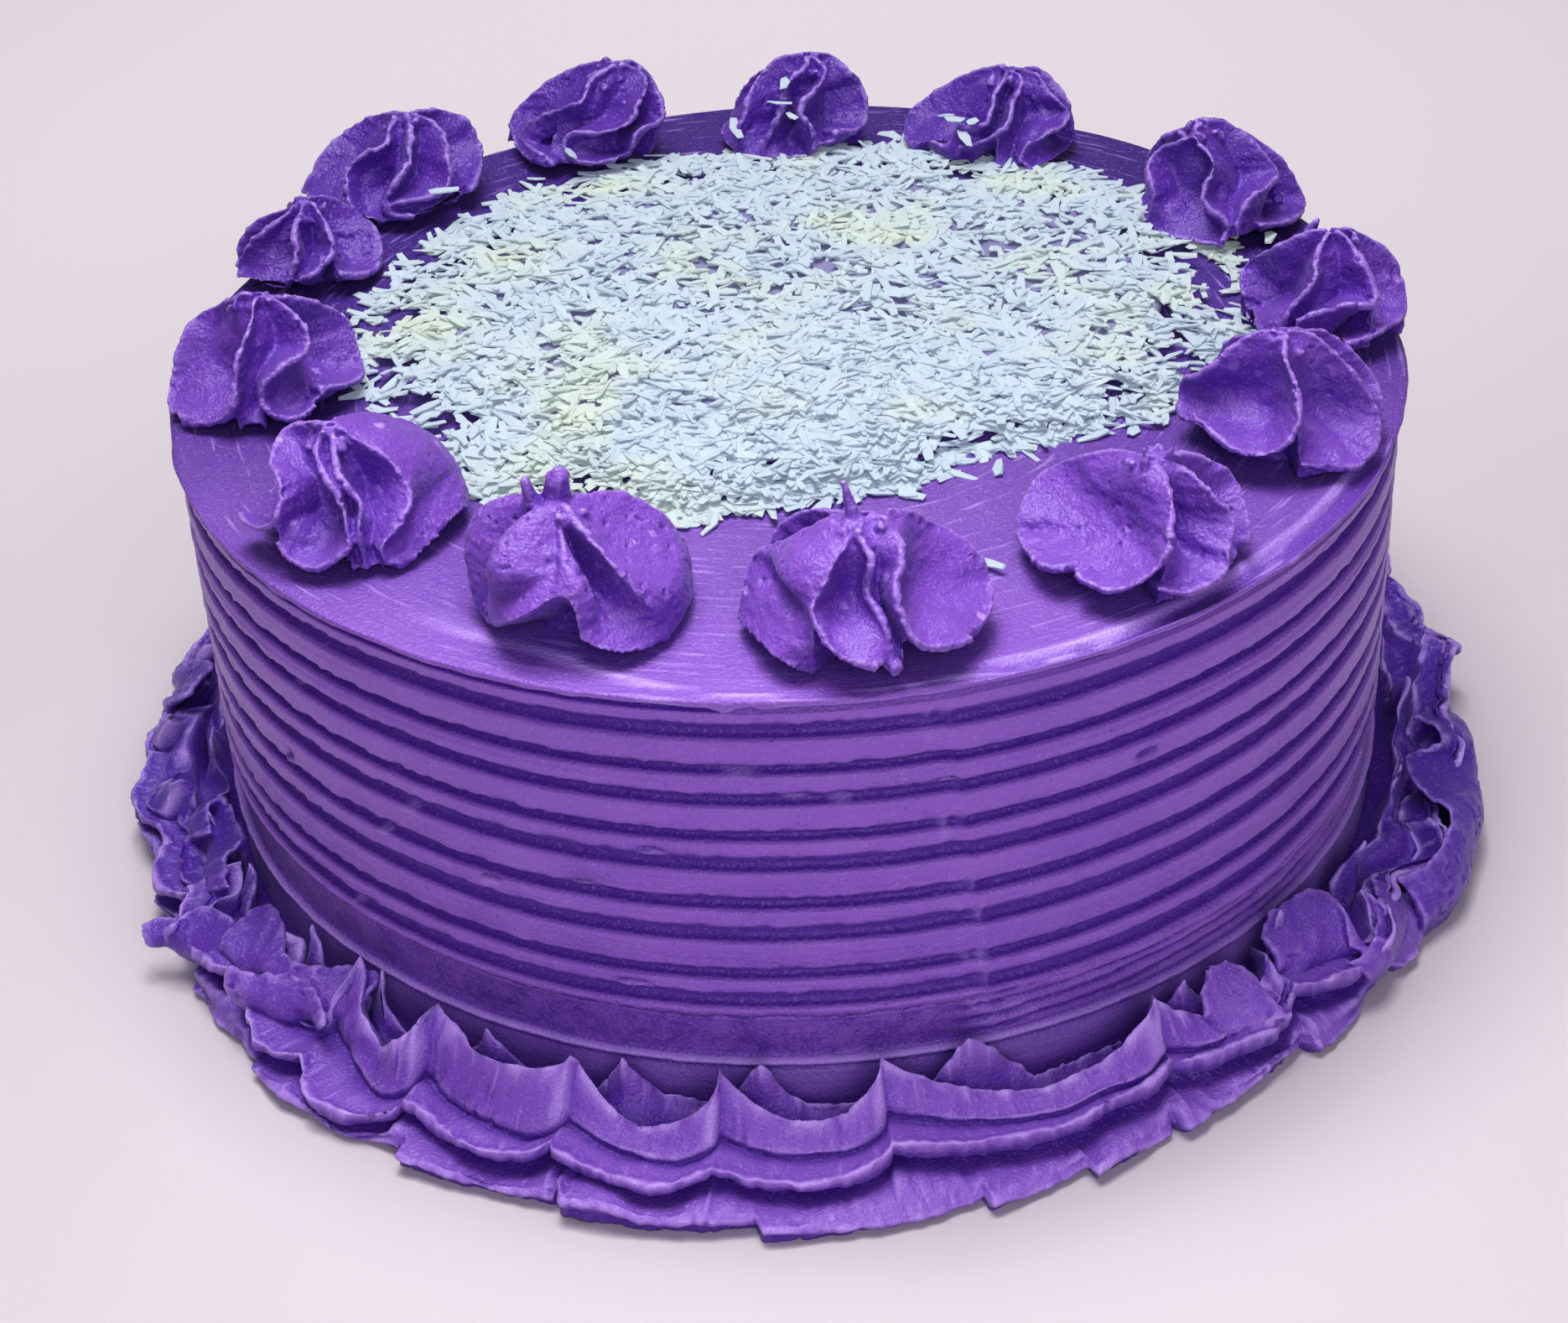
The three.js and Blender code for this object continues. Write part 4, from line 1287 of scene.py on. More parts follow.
                     (-60, 16, 6.5), (-68, 16.5, 5), (-67, 17, 3), (-59, 17, 2), (-50, 17, 2)), 7, 1,
                    petal=((30, 5, 17), (15, 9, 15), (5, 12.5, 12), (0, 14, 9), (-6, 14, 7), (-14, 17, 3.5))),
                Fin(((77, 5, 17), (60, 12, 14), (42, 16.5, 10), (28, 18, 6.5), (18, 18, 3.5),
                     (-1, 17.5, 2.5)), 5, -1),
                *back(112, reach=14, height=17)), ()),
        ]
        return [
            Rosette(f"Rosette_{k + 1:02d}", f"rosette_{k + 1:02d}", place, height, (lean, 0.0), fins,
                    100 + k, triangles, strands)
            for k, (place, height, lean, triangles, fins, strands) in enumerate(rows)
        ]

    def build(self, finish: bpy.types.Material) -> list[bpy.types.Object]:
        """Builds every rosette.

        Args:
            finish: The piped frosting.

        Returns:
            One piece for each rosette.
        """
        return [rosette.build(finish) for rosette in self.rosettes()]


# ---------------------------------------------------------------------------------------------
# The border
# ---------------------------------------------------------------------------------------------


@dataclass(frozen=True)
class Fold:
    """One loose fold of the ruffle: a sheet from its free edge down to where it runs into the ledge."""

    rim: Line
    low: Line
    belly: float = 1.4  # how far the sheet swells outwards between the two lines
    sink: float = 3.0  # how far it runs on below the lower line


@dataclass
class Border:
    """The ruffle piped round the foot: upright fins against the wall, a ledge and a skirt on the board."""

    stations: int = 1560
    count: int = 60
    # Bearings where one shell of the ruffle ends and the next begins.
    cusps: tuple[float, ...] = (
        -176, -166, -155, -143, -133, -123, -109.8, -98, -85, -62, -49, -37, -24, -11,
        3, 15, 27, 39, 51, 63, 75, 87, 99, 111, 123, 135, 147, 159, 171,
    )
    # Bearings where a petal of the skirt starts.
    petals: tuple[float, ...] = (
        -172, -160, -149, -137, -122, -109, -95, -79, -71, -63.5, -50, -38, -25, -12,
        2, 14, 28, 40, 52, 64, 76, 88, 100, 112, 124, 136, 148, 160, 174,
    )
    # (bearing, reach) of the ledge's edge, where a shell is at its narrowest.
    ledge: tuple[tuple[float, float], ...] = (
        (-180, 114.5), (-150, 114.5), (-140, 116.5), (-131, 119.6), (-98, 120.2), (-88, 118.4), (-76, 115.8),
        (-60, 115.0), (-40, 115.0), (-32, 111.5), (-8, 111.5), (4, 114.5), (130, 115.0), (180, 114.5),
    )
    # (bearing, reach) of the skirt's outer edge.
    skirt: tuple[tuple[float, float], ...] = (
        (-180, 121), (-165, 119.5), (-148, 119), (-138, 123.5), (-125, 125.5), (-110, 127), (-98, 128.5),
        (-85, 127), (-72, 124.4), (-58, 121.6), (-40, 119.8), (-20, 118.6), (-3, 116.5), (12, 117), (40, 118),
        (90, 119), (140, 120), (165, 123), (180, 121),
    )
    # Free edge and lower line of each loose fold, right of the front and then left of it.
    folds: tuple[Fold, ...] = (
        Fold(((-10.5, 107.7, 13), (-12.1, 111.9, 13.5), (-14.7, 112.3, 13.5), (-16.8, 107.3, 13),
              (-20.8, 110.3, 13), (-23.6, 116.7, 13), (-26.9, 117.6, 12.5), (-30.4, 116.8, 12),
              (-32.4, 113.2, 10.5)),
             ((-4.9, 111.1, 8), (-6.6, 116, 8), (-9.3, 117.8, 8), (-12, 118.3, 7.5), (-14, 118.8, 7),
              (-17.7, 120.4, 6.5), (-21.9, 120.8, 6), (-28.4, 121.4, 5.5), (-33.2, 118.8, 5)), 0.8, 5.0),
        Fold(((-48, 105.5, 14), (-45.9, 104, 15), (-43.4, 104.1, 15.5), (-40.9, 105.4, 15.5),
              (-39.9, 108.2, 15), (-41.1, 112.2, 14), (-43.1, 115.6, 12)),
             ((-49, 108.9, 9), (-47.7, 110, 9), (-46.9, 111.7, 9), (-45.2, 112.1, 9), (-43.7, 113.2, 9),
              (-42.5, 114.5, 9), (-41.3, 115.9, 9)), 2.4),
        Fold(((-57, 108.7, 13.5), (-55, 106.5, 15), (-53.3, 106.9, 15.5), (-52.3, 109, 15),
              (-52.2, 112.4, 13.5), (-53.5, 116.7, 11)),
             ((-57.9, 108.6, 9), (-57.2, 111.5, 9), (-56.3, 114.3, 9), (-54.7, 116.4, 9), (-52.5, 116.6, 9),
              (-50.5, 116, 9)), 2.2),
        Fold(((-33.8, 109.7, 11), (-36.3, 113.1, 12), (-39.2, 116.2, 12), (-42.3, 118.2, 11),
              (-44.2, 116.1, 10)),
             ((-31.9, 113.7, 6), (-33.8, 115.8, 6), (-36.3, 117.6, 6), (-39.6, 119.1, 6),
              (-42.3, 118.6, 6)), 1.0),
        Fold(((-142.7, 117.9, 12.5), (-140.7, 117.7, 13), (-139.4, 114.8, 13), (-137.8, 112.5, 13),
              (-135.7, 112, 13), (-133.9, 112.8, 12.5), (-131.9, 115.9, 12)),
             ((-141.2, 118.9, 8), (-139.6, 117.8, 8), (-138, 116.7, 8), (-136.8, 115.2, 8),
              (-136, 113.7, 8), (-134.8, 112.8, 8), (-133.3, 112.9, 8)), 1.0),
        Fold(((-140, 110.5, 13.5), (-138.4, 110.6, 14), (-136.5, 108.6, 14), (-134.3, 105.2, 13.5),
              (-131.7, 103.8, 13.5), (-131.2, 107.2, 13), (-130.9, 109.6, 12.5)),
             ((-139.9, 112.2, 10), (-137.6, 112.1, 10), (-134.7, 112.3, 10), (-133.2, 111.3, 10),
              (-132.1, 110.4, 10), (-131.9, 109.6, 10), (-132.5, 108.9, 10)), 1.0),
        Fold(((-146.2, 111.2, 13), (-147.5, 108.5, 13.5), (-146.9, 106.3, 14), (-144.8, 106.2, 14),
              (-141.4, 108.9, 13.5), (-138.7, 112.4, 12.5)),
             ((-146, 114.6, 10), (-143.8, 115.4, 10), (-142.2, 114.9, 10), (-141.2, 113.8, 10),
              (-140.6, 112.5, 10), (-140.3, 111.3, 10)), 2.6),
        Fold(((-159.7, 107.7, 13), (-162.3, 106.8, 15), (-163.1, 105, 15.5), (-162.5, 103.4, 15.5),
              (-159.7, 103, 15), (-156.3, 103.6, 15), (-155.5, 105, 15), (-154.8, 107.6, 14),
              (-151.9, 109.3, 13)),
             ((-162.6, 110.3, 9), (-164.5, 110, 9), (-166.4, 109.3, 9), (-165.6, 107.4, 9),
              (-162.3, 107.9, 9), (-159.7, 108.6, 9), (-157.8, 110, 9), (-156.4, 110.8, 9),
              (-154.3, 111.8, 9)), 0.8),
        Fold(((-150.5, 120.6, 11), (-151.3, 117, 12), (-150.4, 114.1, 12.5), (-148, 112.4, 12.5),
              (-146.1, 111.9, 12)),
             ((-151.6, 120.9, 7), (-150.3, 119.6, 7), (-149, 118.8, 7), (-147.4, 117.7, 7),
              (-146.1, 116.8, 7)), 1.2),
        Fold(((-153.4, 124.2, 8.6), (-153.0, 121.8, 9.5), (-152.5, 119.2, 10), (-152, 116, 10)),
             ((-152.3, 124.6, 7.2), (-151.9, 122.4, 7.4), (-151.4, 120, 7), (-151, 117, 6.5)), 0.2, 1.0),
        Fold(((176.0, 113.6, 11), (178.5, 111.8, 14), (177, 109.5, 15), (174.5, 108, 15), (172, 110, 14),
              (170, 114, 11)), ((174.5, 117, 8), (175.5, 116, 8), (174.5, 115, 8), (173.5, 114.5, 8),
              (172.0, 116, 8), (170.5, 118, 7)), 1.0),
    )
    # Bearings between which the loose folds stand in place of the fin.
    folded: tuple[tuple[float, float], ...] = ((-58, -39), (-34, -6), (-148, -132), (-166, -151), (170, 178))
    # Reach and height of the fins, and heights of the ledge and the skirt, before they vary.
    fin_at: float = 107.8
    fin_top: float = 17.9
    inner_at: float = 105.3
    ledge_top: float = 8.2
    skirt_top: float = 2.6
    stroke_step: float = 0.22  # how far a scratch runs on from one point of the section to the next
    stroke_turn: float = 90.0  # how many scratches lie side by side in a radian
    seed: int = 5
    tear: float = 0.7  # how ragged the loose folds' edges are
    fold_voxel: float = 0.38
    fold_triangles: int = 36000
    grain: Grain = field(default_factory=lambda: Grain(31))

    @staticmethod
    def _share(bearing: np.ndarray, starts: tuple[float, ...]) -> tuple[np.ndarray, np.ndarray]:
        """Where bearings fall within shells or petals.

        Args:
            bearing: Bearings in -180..180.
            starts: Bearing where each shell starts.

        Returns:
            Shares 0..1 along the shell, and the shell's number.
        """
        marks = np.array([starts[-1] - TURN, *starts, starts[0] + TURN])
        number = np.clip(np.searchsorted(marks, bearing, side="right") - 1, 0, len(marks) - 2)
        share = (bearing - marks[number]) / (marks[number + 1] - marks[number])
        return np.clip(share, 0, 1), number % len(starts)

    def _section(self, bearing: np.ndarray) -> np.ndarray:
        """Control points of the section at each station.

        Args:
            bearing: Bearings of the stations.

        Returns:
            (reach, height, freedom to fold, painted shade, paleness as painted highlight) of shape (stations,
            points, 5).
        """
        share, number = self._share(bearing, self.cusps)
        petal, petal_number = self._share(bearing, self.petals)
        spot = polar(bearing, 112.0, 0.0)
        chance = np.random.default_rng(self.seed).uniform(-1, 1, (len(self.cusps), 8))
        mine, its = chance[number], chance[petal_number]
        swell = np.sin(np.pi * share) ** 0.7
        late = np.sin(np.pi * share**1.35) ** 0.8
        ragged = self.grain.rough(spot, 1.6, 3)
        torn = self.grain.rough(spot + 50, 1.3, 2)
        wave = self.grain.at(spot, 16.0)
        none = 0 * share
        # Right of the front the ruffle stands up in loose folds with a smooth outer face.
        loose = smooth((bearing + 47) / 10) * smooth((48 - bearing) / 20)
        # Left of the front it is frilly, with big lobes.
        frilly = smooth((-118 - bearing) / 10)
        swing = np.sin(np.radians(bearing * 24.0) + 1.4 * wave)
        # Each shell flares outwards at its end, over the start of the next.
        flare = 1.9 * smooth((share - 0.55) / 0.4) * (1 - loose)
        end = smooth((share - 0.9) / 0.06) * (1 - loose)
        # The shells left of the front lean further out.
        leaning = smooth((-88 - bearing) / 8) * smooth((bearing + 130) / 5)
        # The fin makes room for the loose folds.
        taken = 0
        for low, high in self.folded:
            taken = taken + smooth((bearing - low) / 2.5) * smooth((high - bearing) / 2.5)
        fin_reach = self.fin_at + 4.6 * late + flare + 0.6 * mine[:, 0] + 0.5 * wave
        fin_reach += loose * (1.5 + 3.0 * swing) - 2.0 * taken + leaning
        # Left of the front one shell stands almost level.
        dip = 7.8 - 4.8 * smooth((bearing + 125) / 3) * smooth((-109 - bearing) / 3)
        fin_height = self.fin_top - dip * swell + 1.2 * mine[:, 1] + 0.35 * ragged
        fin_height += 1.5 * frilly * self.grain.at(spot, 4.0) - loose * (2.0 + 1.5 * swing)
        fin_height -= 4.5 * taken * (1 - 0.5 * swell)
        inner = np.clip(1 - np.abs(share - 0.3 - 0.06 * mine[:, 5]) / 0.24, 0, 1)
        inner_height = 7.5 + (9.0 + 1.5 * mine[:, 6]) * inner + 0.8 * ragged
        inner_height += loose * 1.5 * self.grain.at(spot, 3.5) + frilly * 2.5 * self.grain.at(spot, 2.6)
        inner_reach = self.inner_at + 1.3 * inner * (1 - share) + 0.8 * self.grain.at(spot, 5.0)
        base = np.interp(bearing, *np.array(self.ledge).T)
        ledge_reach = base + 3.4 * late + 0.7 * mine[:, 2] + 0.5 * ragged
        ledge_reach += frilly * (1.2 + 1.6 * self.grain.at(spot, 9.0)) + loose * (0.6 + 1.5 * swing)
        ledge_height = self.ledge_top - 0.45 * (base - 115) + 1.6 * (1 - swell) + 0.8 * mine[:, 3]
        ledge_height += 0.5 * wave + 0.9 * self.grain.at(spot, 7.0) + loose
        thick = 1.5 + 1.0 * smooth((bearing + 90) / 6) * smooth((-38 - bearing) / 6) + 0.3 * torn
        reach = np.interp(bearing, *np.array(self.skirt).T)
        corner = smooth(petal / 0.05)
        skirt_edge = reach - 3.4 * (1 - corner) - corner * (2.6 * petal**1.4) + 0.5 * its[:, 4] + 0.45 * torn
        skirt_height = self.skirt_top + 0.8 * its[:, 5] + 0.6 * wave - 0.8 * petal
        skirt_height = np.maximum(skirt_height + 0.9 * self.grain.at(spot + 30, 6.0), 1.4)
        gap_reach = np.minimum(ledge_reach - 4.2, 112.6 + 1.2 * late)
        crest = np.maximum(ledge_height - thick - 2.5 + 0.5 * its[:, 7], skirt_height + 0.5)
        ledge_reach = np.maximum(ledge_reach, fin_reach + 5.8)
        mid_ledge = 0.45 * (fin_reach + 3.2) + 0.55 * ledge_reach
        # Painted highlights on the thin edges of the fins, the ledge and the skirt.
        pale_fin = 0.75 * smooth(0.6 + self.grain.at(spot, 2.0))
        pale_skirt = 0.6 * smooth(0.3 + self.grain.at(spot + 90, 1.7))
        # (reach, height, freedom, painted shade, painted highlight) of each point, from the wall over the top
        # to the board.
        points = [
            (100.2 + none, none, 0, 0.9, 0),
            (100.3 + none, 2.0 + none, 0, 0.9, 0),
            (103.2 + none, 3.4 + none, 0.1, 0.8, 0),
            (inner_reach - 0.9, 0.45 * inner_height + 1.5, 0.4, 0.5, 0),
            (inner_reach - 0.45, inner_height - 0.8, 1, 0.1, 0.2),
            (inner_reach, inner_height, 1, 0, pale_fin),
            (inner_reach + 0.5, inner_height - 0.9, 1, 0.1, 0.1),
            (0.5 * (inner_reach + fin_reach), 5.6 + 2.6 * taken, 0.5, 0.7, 0),
            (fin_reach - 0.65, fin_height - 1.6, 1, 0.2, 0.1),
            (fin_reach - 0.15, fin_height - 0.1, 1, 0, pale_fin),
            (fin_reach + 0.35, fin_height - 0.6, 1, 0, pale_fin),
            (fin_reach + 1.5, 0.72 * fin_height + 0.28 * ledge_height, 0.8, 0, 0.6 * end),
            (fin_reach + 3.1, 0.36 * fin_height + 0.64 * ledge_height, 0.6, 0, 0.6 * end),
            (fin_reach + 4.1 + 0.6 * leaning, ledge_height + 0.9, 0.4, 0.25, 0.3 * end),
            (fin_reach + 3.4 + 0.6 * leaning, ledge_height - 0.4, 0.4, 0.8, 0),
            (mid_ledge, ledge_height + 0.1, 0.5, 0, 0.1),
            (ledge_reach - 1.3, ledge_height + 0.15, 0.8, 0, 0),
            (ledge_reach - 0.2, ledge_height + 0.45, 0.8, 0, 0.9 * pale_fin),
            (ledge_reach - 0.05, ledge_height - 0.35, 0.8, 0.2, 0.2),
            (ledge_reach - 0.2, ledge_height - thick, 0.8, 0.9, 0),
            (ledge_reach - 1.8, ledge_height - thick - 0.7, 0.6, 1, 0),
            (gap_reach, 4.6 + none, 0.2, 1, 0),
            (gap_reach + 1.0, 5.0 + none, 0.2, 1, 0),
            (ledge_reach - 1.6, crest - 0.3, 0.2, 0.6, 0),
            (0.65 * ledge_reach + 0.35 * skirt_edge, crest - 0.1, 0.3, 0, 0.1),
            (0.3 * ledge_reach + 0.7 * skirt_edge, 0.5 * (crest + skirt_height) + 0.3, 0.4, 0, 0.1),
            (skirt_edge - 0.8, skirt_height + 0.6, 0.5, 0, 0.15),
            (skirt_edge, skirt_height, 0.5, 0, pale_skirt),
            (skirt_edge - 0.35, skirt_height - 0.8, 0.5, 0.5, 0),
            (skirt_edge - 1.7, 0.5 * skirt_height - 0.5, 0.2, 0.6, 0),
            (skirt_edge - 2.0, 0 * share, 0, 0.6, 0),
            (110.0 + none, none, 0, 0, 0),
        ]
        return np.stack([np.stack([column + none for column in point], axis=-1) for point in points], axis=1)

    def build(self, finish: bpy.types.Material) -> list[bpy.types.Object]:
        """Builds the ruffle.

        Args:
            finish: The piped frosting.

        Returns:
            One closed ring, and the loose folds on it.
        """
        bearing = np.linspace(-180, 180, self.stations, endpoint=False)
        control = self._section(bearing)
        around = np.concatenate([control, control[:, :1]], axis=1).transpose(1, 0, 2)
        around = around.reshape(control.shape[1] + 1, -1)
        section = through(around, self.count + 1)[:-1].reshape(self.count, self.stations, 5)
        reach, height, freedom, shade, pale = np.moveaxis(section, -1, 0)
        points = polar(bearing[None], reach, height)
        # The fins' free edges fold over to either side, most where the ruffle is frilly or loose.
        frilly = smooth((-112 - bearing) / 14)
        loose = smooth((bearing + 50) / 12)
        amount = np.clip(freedom, 0, 1) * (0.55 + 1.9 * frilly + 1.5 * loose)[None]
        for size, depth in ((8.0, 1.0), (3.2, 0.32)):
            sway = np.stack([self.grain.at(points + 70.0 * k, size) for k in range(3)], axis=-1)
            points += amount[..., None] * depth * sway * [1, 1, 0.6]
        points[..., 2] = np.maximum(points[..., 2], 0.0)
        faces = ring_faces(self.count, self.stations)
        last = (self.count - 1) * self.stations
        a = np.arange(self.stations)
        b = (a + 1) % self.stations
        faces = np.concatenate([faces, np.stack([last + a, last + b, b, a], axis=-1)])
        piece = make_mesh("Border_Ruffle", points.reshape(-1, 3), faces[:, ::-1])
        push(piece, self.grain, [(1.1, 0.16), (2.4, 0.2), (5.0, 0.25)], pits=0.5)
        # Painted shade and painted highlight, and the streaks' painted highlight only where little shade is
        # painted.
        tone = np.stack([np.clip(shade, 0, 1), np.clip(pale, 0, 1), 0.8 * (shade < 0.2)], axis=-1)
        mark(piece, "tone", tone.reshape(-1, 3))
        # The nozzle drew its scratches across the ruffle, from the wall outwards.
        along = np.arange(self.count)[:, None] * self.stroke_step + 0 * reach
        turned = np.radians(bearing)[None] * self.stroke_turn + 0 * reach
        strokes = np.stack([along, turned, 0 * reach], axis=-1)
        mark(piece, "strokes", strokes.reshape(-1, 3))
        piece.data.materials.append(finish)
        pieces = [piece, self._loose_folds(finish)]
        for piece in pieces:
            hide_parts("base_border")
            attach(piece, "root")
        return pieces

    def _loose_folds(self, finish: bpy.types.Material) -> bpy.types.Object:
        """Builds the loose folds as one skin.

        Args:
            finish: The piped frosting.

        Returns:
            The folds.
        """
        along, rows = 60, 17  # points along the sheet and down it
        parts = []
        for fold in self.folds:
            rim, low = (through(polar(*np.array(line).T), along) for line in (fold.rim, fold.low))
            rim += self.tear * self.grain.torn(rim)
            down = np.linspace(0, 1.35, rows)[:, None, None]
            on = np.minimum(down, 1.0)
            away = low * [1, 1, 0] / np.linalg.norm(low * [1, 1, 0], axis=1, keepdims=True)
            sheet = rim * (1 - on) + low * on + away * fold.belly * np.sin(np.pi * on)
            sheet = sheet - (down - on) / 0.35 * (away * 1.8 + np.array([0, 0, fold.sink]))
            normal = np.cross(np.gradient(sheet, axis=1), np.gradient(sheet, axis=0))
            normal /= np.linalg.norm(normal, axis=-1, keepdims=True) + 1e-9
            half = normal * 0.5 * (0.8 + 1.2 * down)
            parts.append(Rosette.close(np.stack([sheet + half, sheet - half])))
        cloud, faces = joined(parts)
        cloud[:, 2] = np.maximum(cloud[:, 2], 0.0)
        piece = make_mesh("Border_Folds", cloud, faces)
        skin_over(piece, self.fold_voxel, 2)
        push(piece, self.grain, [(1.1, 0.14), (2.4, 0.16), (5.0, 0.25)], pits=0.4)
        decimate(piece, self.fold_triangles)
        piece.data.materials.append(finish)
        return piece


# ---------------------------------------------------------------------------------------------
# Coconut
# ---------------------------------------------------------------------------------------------


@dataclass
class CoconutHeap:
    """Shredded coconut heaped in the middle: a low core with loose shreds all over and round it."""

    # (bearing, reach) of the heap's edge from the middle of the cake.
    edge: tuple[tuple[float, float], ...] = (
        (-178, 69), (-164, 65), (-152, 63), (-139, 62), (-121, 51), (-113, 52), (-103, 51), (-97, 48),
        (-88, 46), (-79, 45.5), (-70, 47), (-63, 46), (-57, 44), (-50, 45), (-42, 48), (-35, 53), (-26, 60),
        (-17, 66), (-7, 70), (5, 76), (21, 80.5), (38, 83), (53, 82), (70, 80.5), (87, 80), (99, 77.5),
        (117, 78), (129, 80), (137, 77), (150, 74), (163, 72.5),
    )
    # Shreds that landed on the rosettes and beside them, and how far above the top each lies.
    fallen: tuple[tuple[float, float, float], ...] = (
        (2.1, 78.3, 14.4), (0.9, 75.0, 11.2), (3.0, 72.9, 9.1), (-7.6, 77.9, 6.6), (32.5, 69.4, 8.4),
        (31.5, 71.2, 8.8), (36.2, 66.9, 8.8), (34.6, 65.7, 6.1), (-38.5, 72.6, 5.6), (-61.5, 56.5, 6.6),
        (86.0, 31.0, 2.1), (28.7, -69.3, 0.5), (-76.4, 19.0, 0.5), (55.9, 62.1, 0.5),
    )
    height: float = 6.0
    shreds: int = 7200
    strays: int = 520
    core_share: float = 0.84  # how much of the heap's reach the core fills
    seed: int = 77
    grain: Grain = field(default_factory=lambda: Grain(71))

    def _edge_reach(self, bearing: np.ndarray) -> np.ndarray:
        """The heap's edge at bearings."""
        marks, reaches = np.array([*self.edge, (self.edge[0][0] + TURN, self.edge[0][1])]).T
        return np.interp((bearing - marks[0]) % TURN + marks[0], marks, reaches)

    def _surface(self, spot: np.ndarray) -> np.ndarray:
        """Height of the heap above the top at spots of shape (..., 2)."""
        bearing = np.degrees(np.arctan2(spot[..., 1], spot[..., 0]))
        share = np.hypot(spot[..., 0], spot[..., 1]) / self._edge_reach(bearing)
        flat = np.stack([spot[..., 0], spot[..., 1], 0 * share], axis=-1)
        mound = np.clip(1 - share**2.6, 0, 1) ** 0.6
        return mound * (self.height - 1.6 + 1.1 * self.grain.at(flat, 17.0) + 0.5 * self.grain.at(flat, 6.0))

    def _core(self, finish: bpy.types.Material) -> bpy.types.Object:
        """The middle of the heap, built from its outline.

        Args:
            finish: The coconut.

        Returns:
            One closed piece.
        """
        columns, rows = 180, 60
        bearing = np.arange(columns) * TURN / columns
        share = np.linspace(self.core_share, 0.02, rows)[:, None]
        spot = polar(bearing[None], self._edge_reach(bearing)[None] * share, 0.0)
        uneven = 0.35 * self.grain.rough(spot, 1.6, 2) * smooth((1 - share) * 12)
        spot[..., 2] = TOP + self._surface(spot[..., :2]) + uneven
        points = np.concatenate([spot.reshape(-1, 3), [[0, 0, TOP + self.height - 1.6], [0, 0, TOP]]])
        faces = ring_faces(rows, columns).tolist()
        faces += end_fans((rows - 1) * columns, columns, len(points) - 2)
        piece = make_mesh("Coconut_Core", points, faces)
        piece.data.materials.append(finish)
        return piece

    def _shred_cloud(
        self, spots: np.ndarray, lift: np.ndarray, chance: np.random.Generator
    ) -> tuple[np.ndarray, np.ndarray]:
        """Shreds at spots: thin curved slivers and a few flat chips.

        Args:
            spots: (x, y) of each shred.
            lift: Height of each shred's middle above the heap.
            chance: The random source.

        Returns:
            Points and quads of all shreds.
        """
        count = len(spots)
        # Most are about 5 mm long; they lie nearly flat, a little bent.
        long = chance.gamma(9, 0.56, count).clip(2.0, 8.0)
        wide = chance.uniform(0.95, 2.0, count)
        thick = chance.uniform(0.18, 0.36, count)
        heading = chance.uniform(0, 2 * math.pi, count)
        rise = chance.normal(0, 0.12, count)
        roll = chance.normal(0, 0.2, count)
        bend = chance.normal(0, 0.08, count)
        stations = np.array([-0.5, 0.05, 0.5])
        taper = np.array([0.65, 1.0, 0.55])
        corners = np.array([(-1, -1), (1, -1), (1, 1), (-1, 1)]) * 0.5
        along = stations[None, :, None] * long[:, None, None] + 0 * corners[None, None, :, 0]
        side = corners[None, None, :, 0] * (wide[:, None] * taper[None])[..., None]
        up = corners[None, None, :, 1] * (thick[:, None] * (0.6 + 0.4 * taper[None]))[..., None]
        side = side + (bend[:, None, None] * 4) * (along**2) / long[:, None, None]
        jitter = chance.normal(0, 0.1, (3, *along.shape)) * [[[[1.5]]], [[[1.0]]], [[[0.4]]]]
        along, side, up = along + jitter[0], side + jitter[1], up + jitter[2]
        cr, sr = np.cos(roll)[:, None, None], np.sin(roll)[:, None, None]
        side, up = side * cr - up * sr, side * sr + up * cr
        cp, sp = np.cos(rise)[:, None, None], np.sin(rise)[:, None, None]
        along, up = along * cp - up * sp, along * sp + up * cp
        ch, sh = np.cos(heading)[:, None, None], np.sin(heading)[:, None, None]
        x = along * ch - side * sh + spots[:, 0, None, None]
        y = along * sh + side * ch + spots[:, 1, None, None]
        floor = TOP + self._surface(spots) + lift
        z = up + floor[:, None, None]
        points = np.stack([x, y, z], axis=-1).reshape(-1, 3)
        one = np.concatenate([ring_faces(3, 4), [[3, 2, 1, 0], [8, 9, 10, 11]]])
        faces = (one[None] + 12 * np.arange(count)[:, None, None]).reshape(-1, 4)
        return points, faces

    def build(self) -> list[bpy.types.Object]:
        """Builds the heap.

        Returns:
            The core, the shreds over it and the strays round it.
        """
        finish = DesiccatedCoconut("desiccated coconut, shredded").material()
        chance = np.random.default_rng(self.seed)
        bearing = chance.uniform(-180, 180, self.shreds)
        share = np.sqrt(chance.uniform(0, 1, self.shreds)) * 1.03
        spots = polar(bearing, self._edge_reach(bearing) * share, 0.0)[:, :2]
        lift = chance.uniform(-0.1, 0.8, self.shreds) * smooth((1.05 - share) * 8) + 0.35
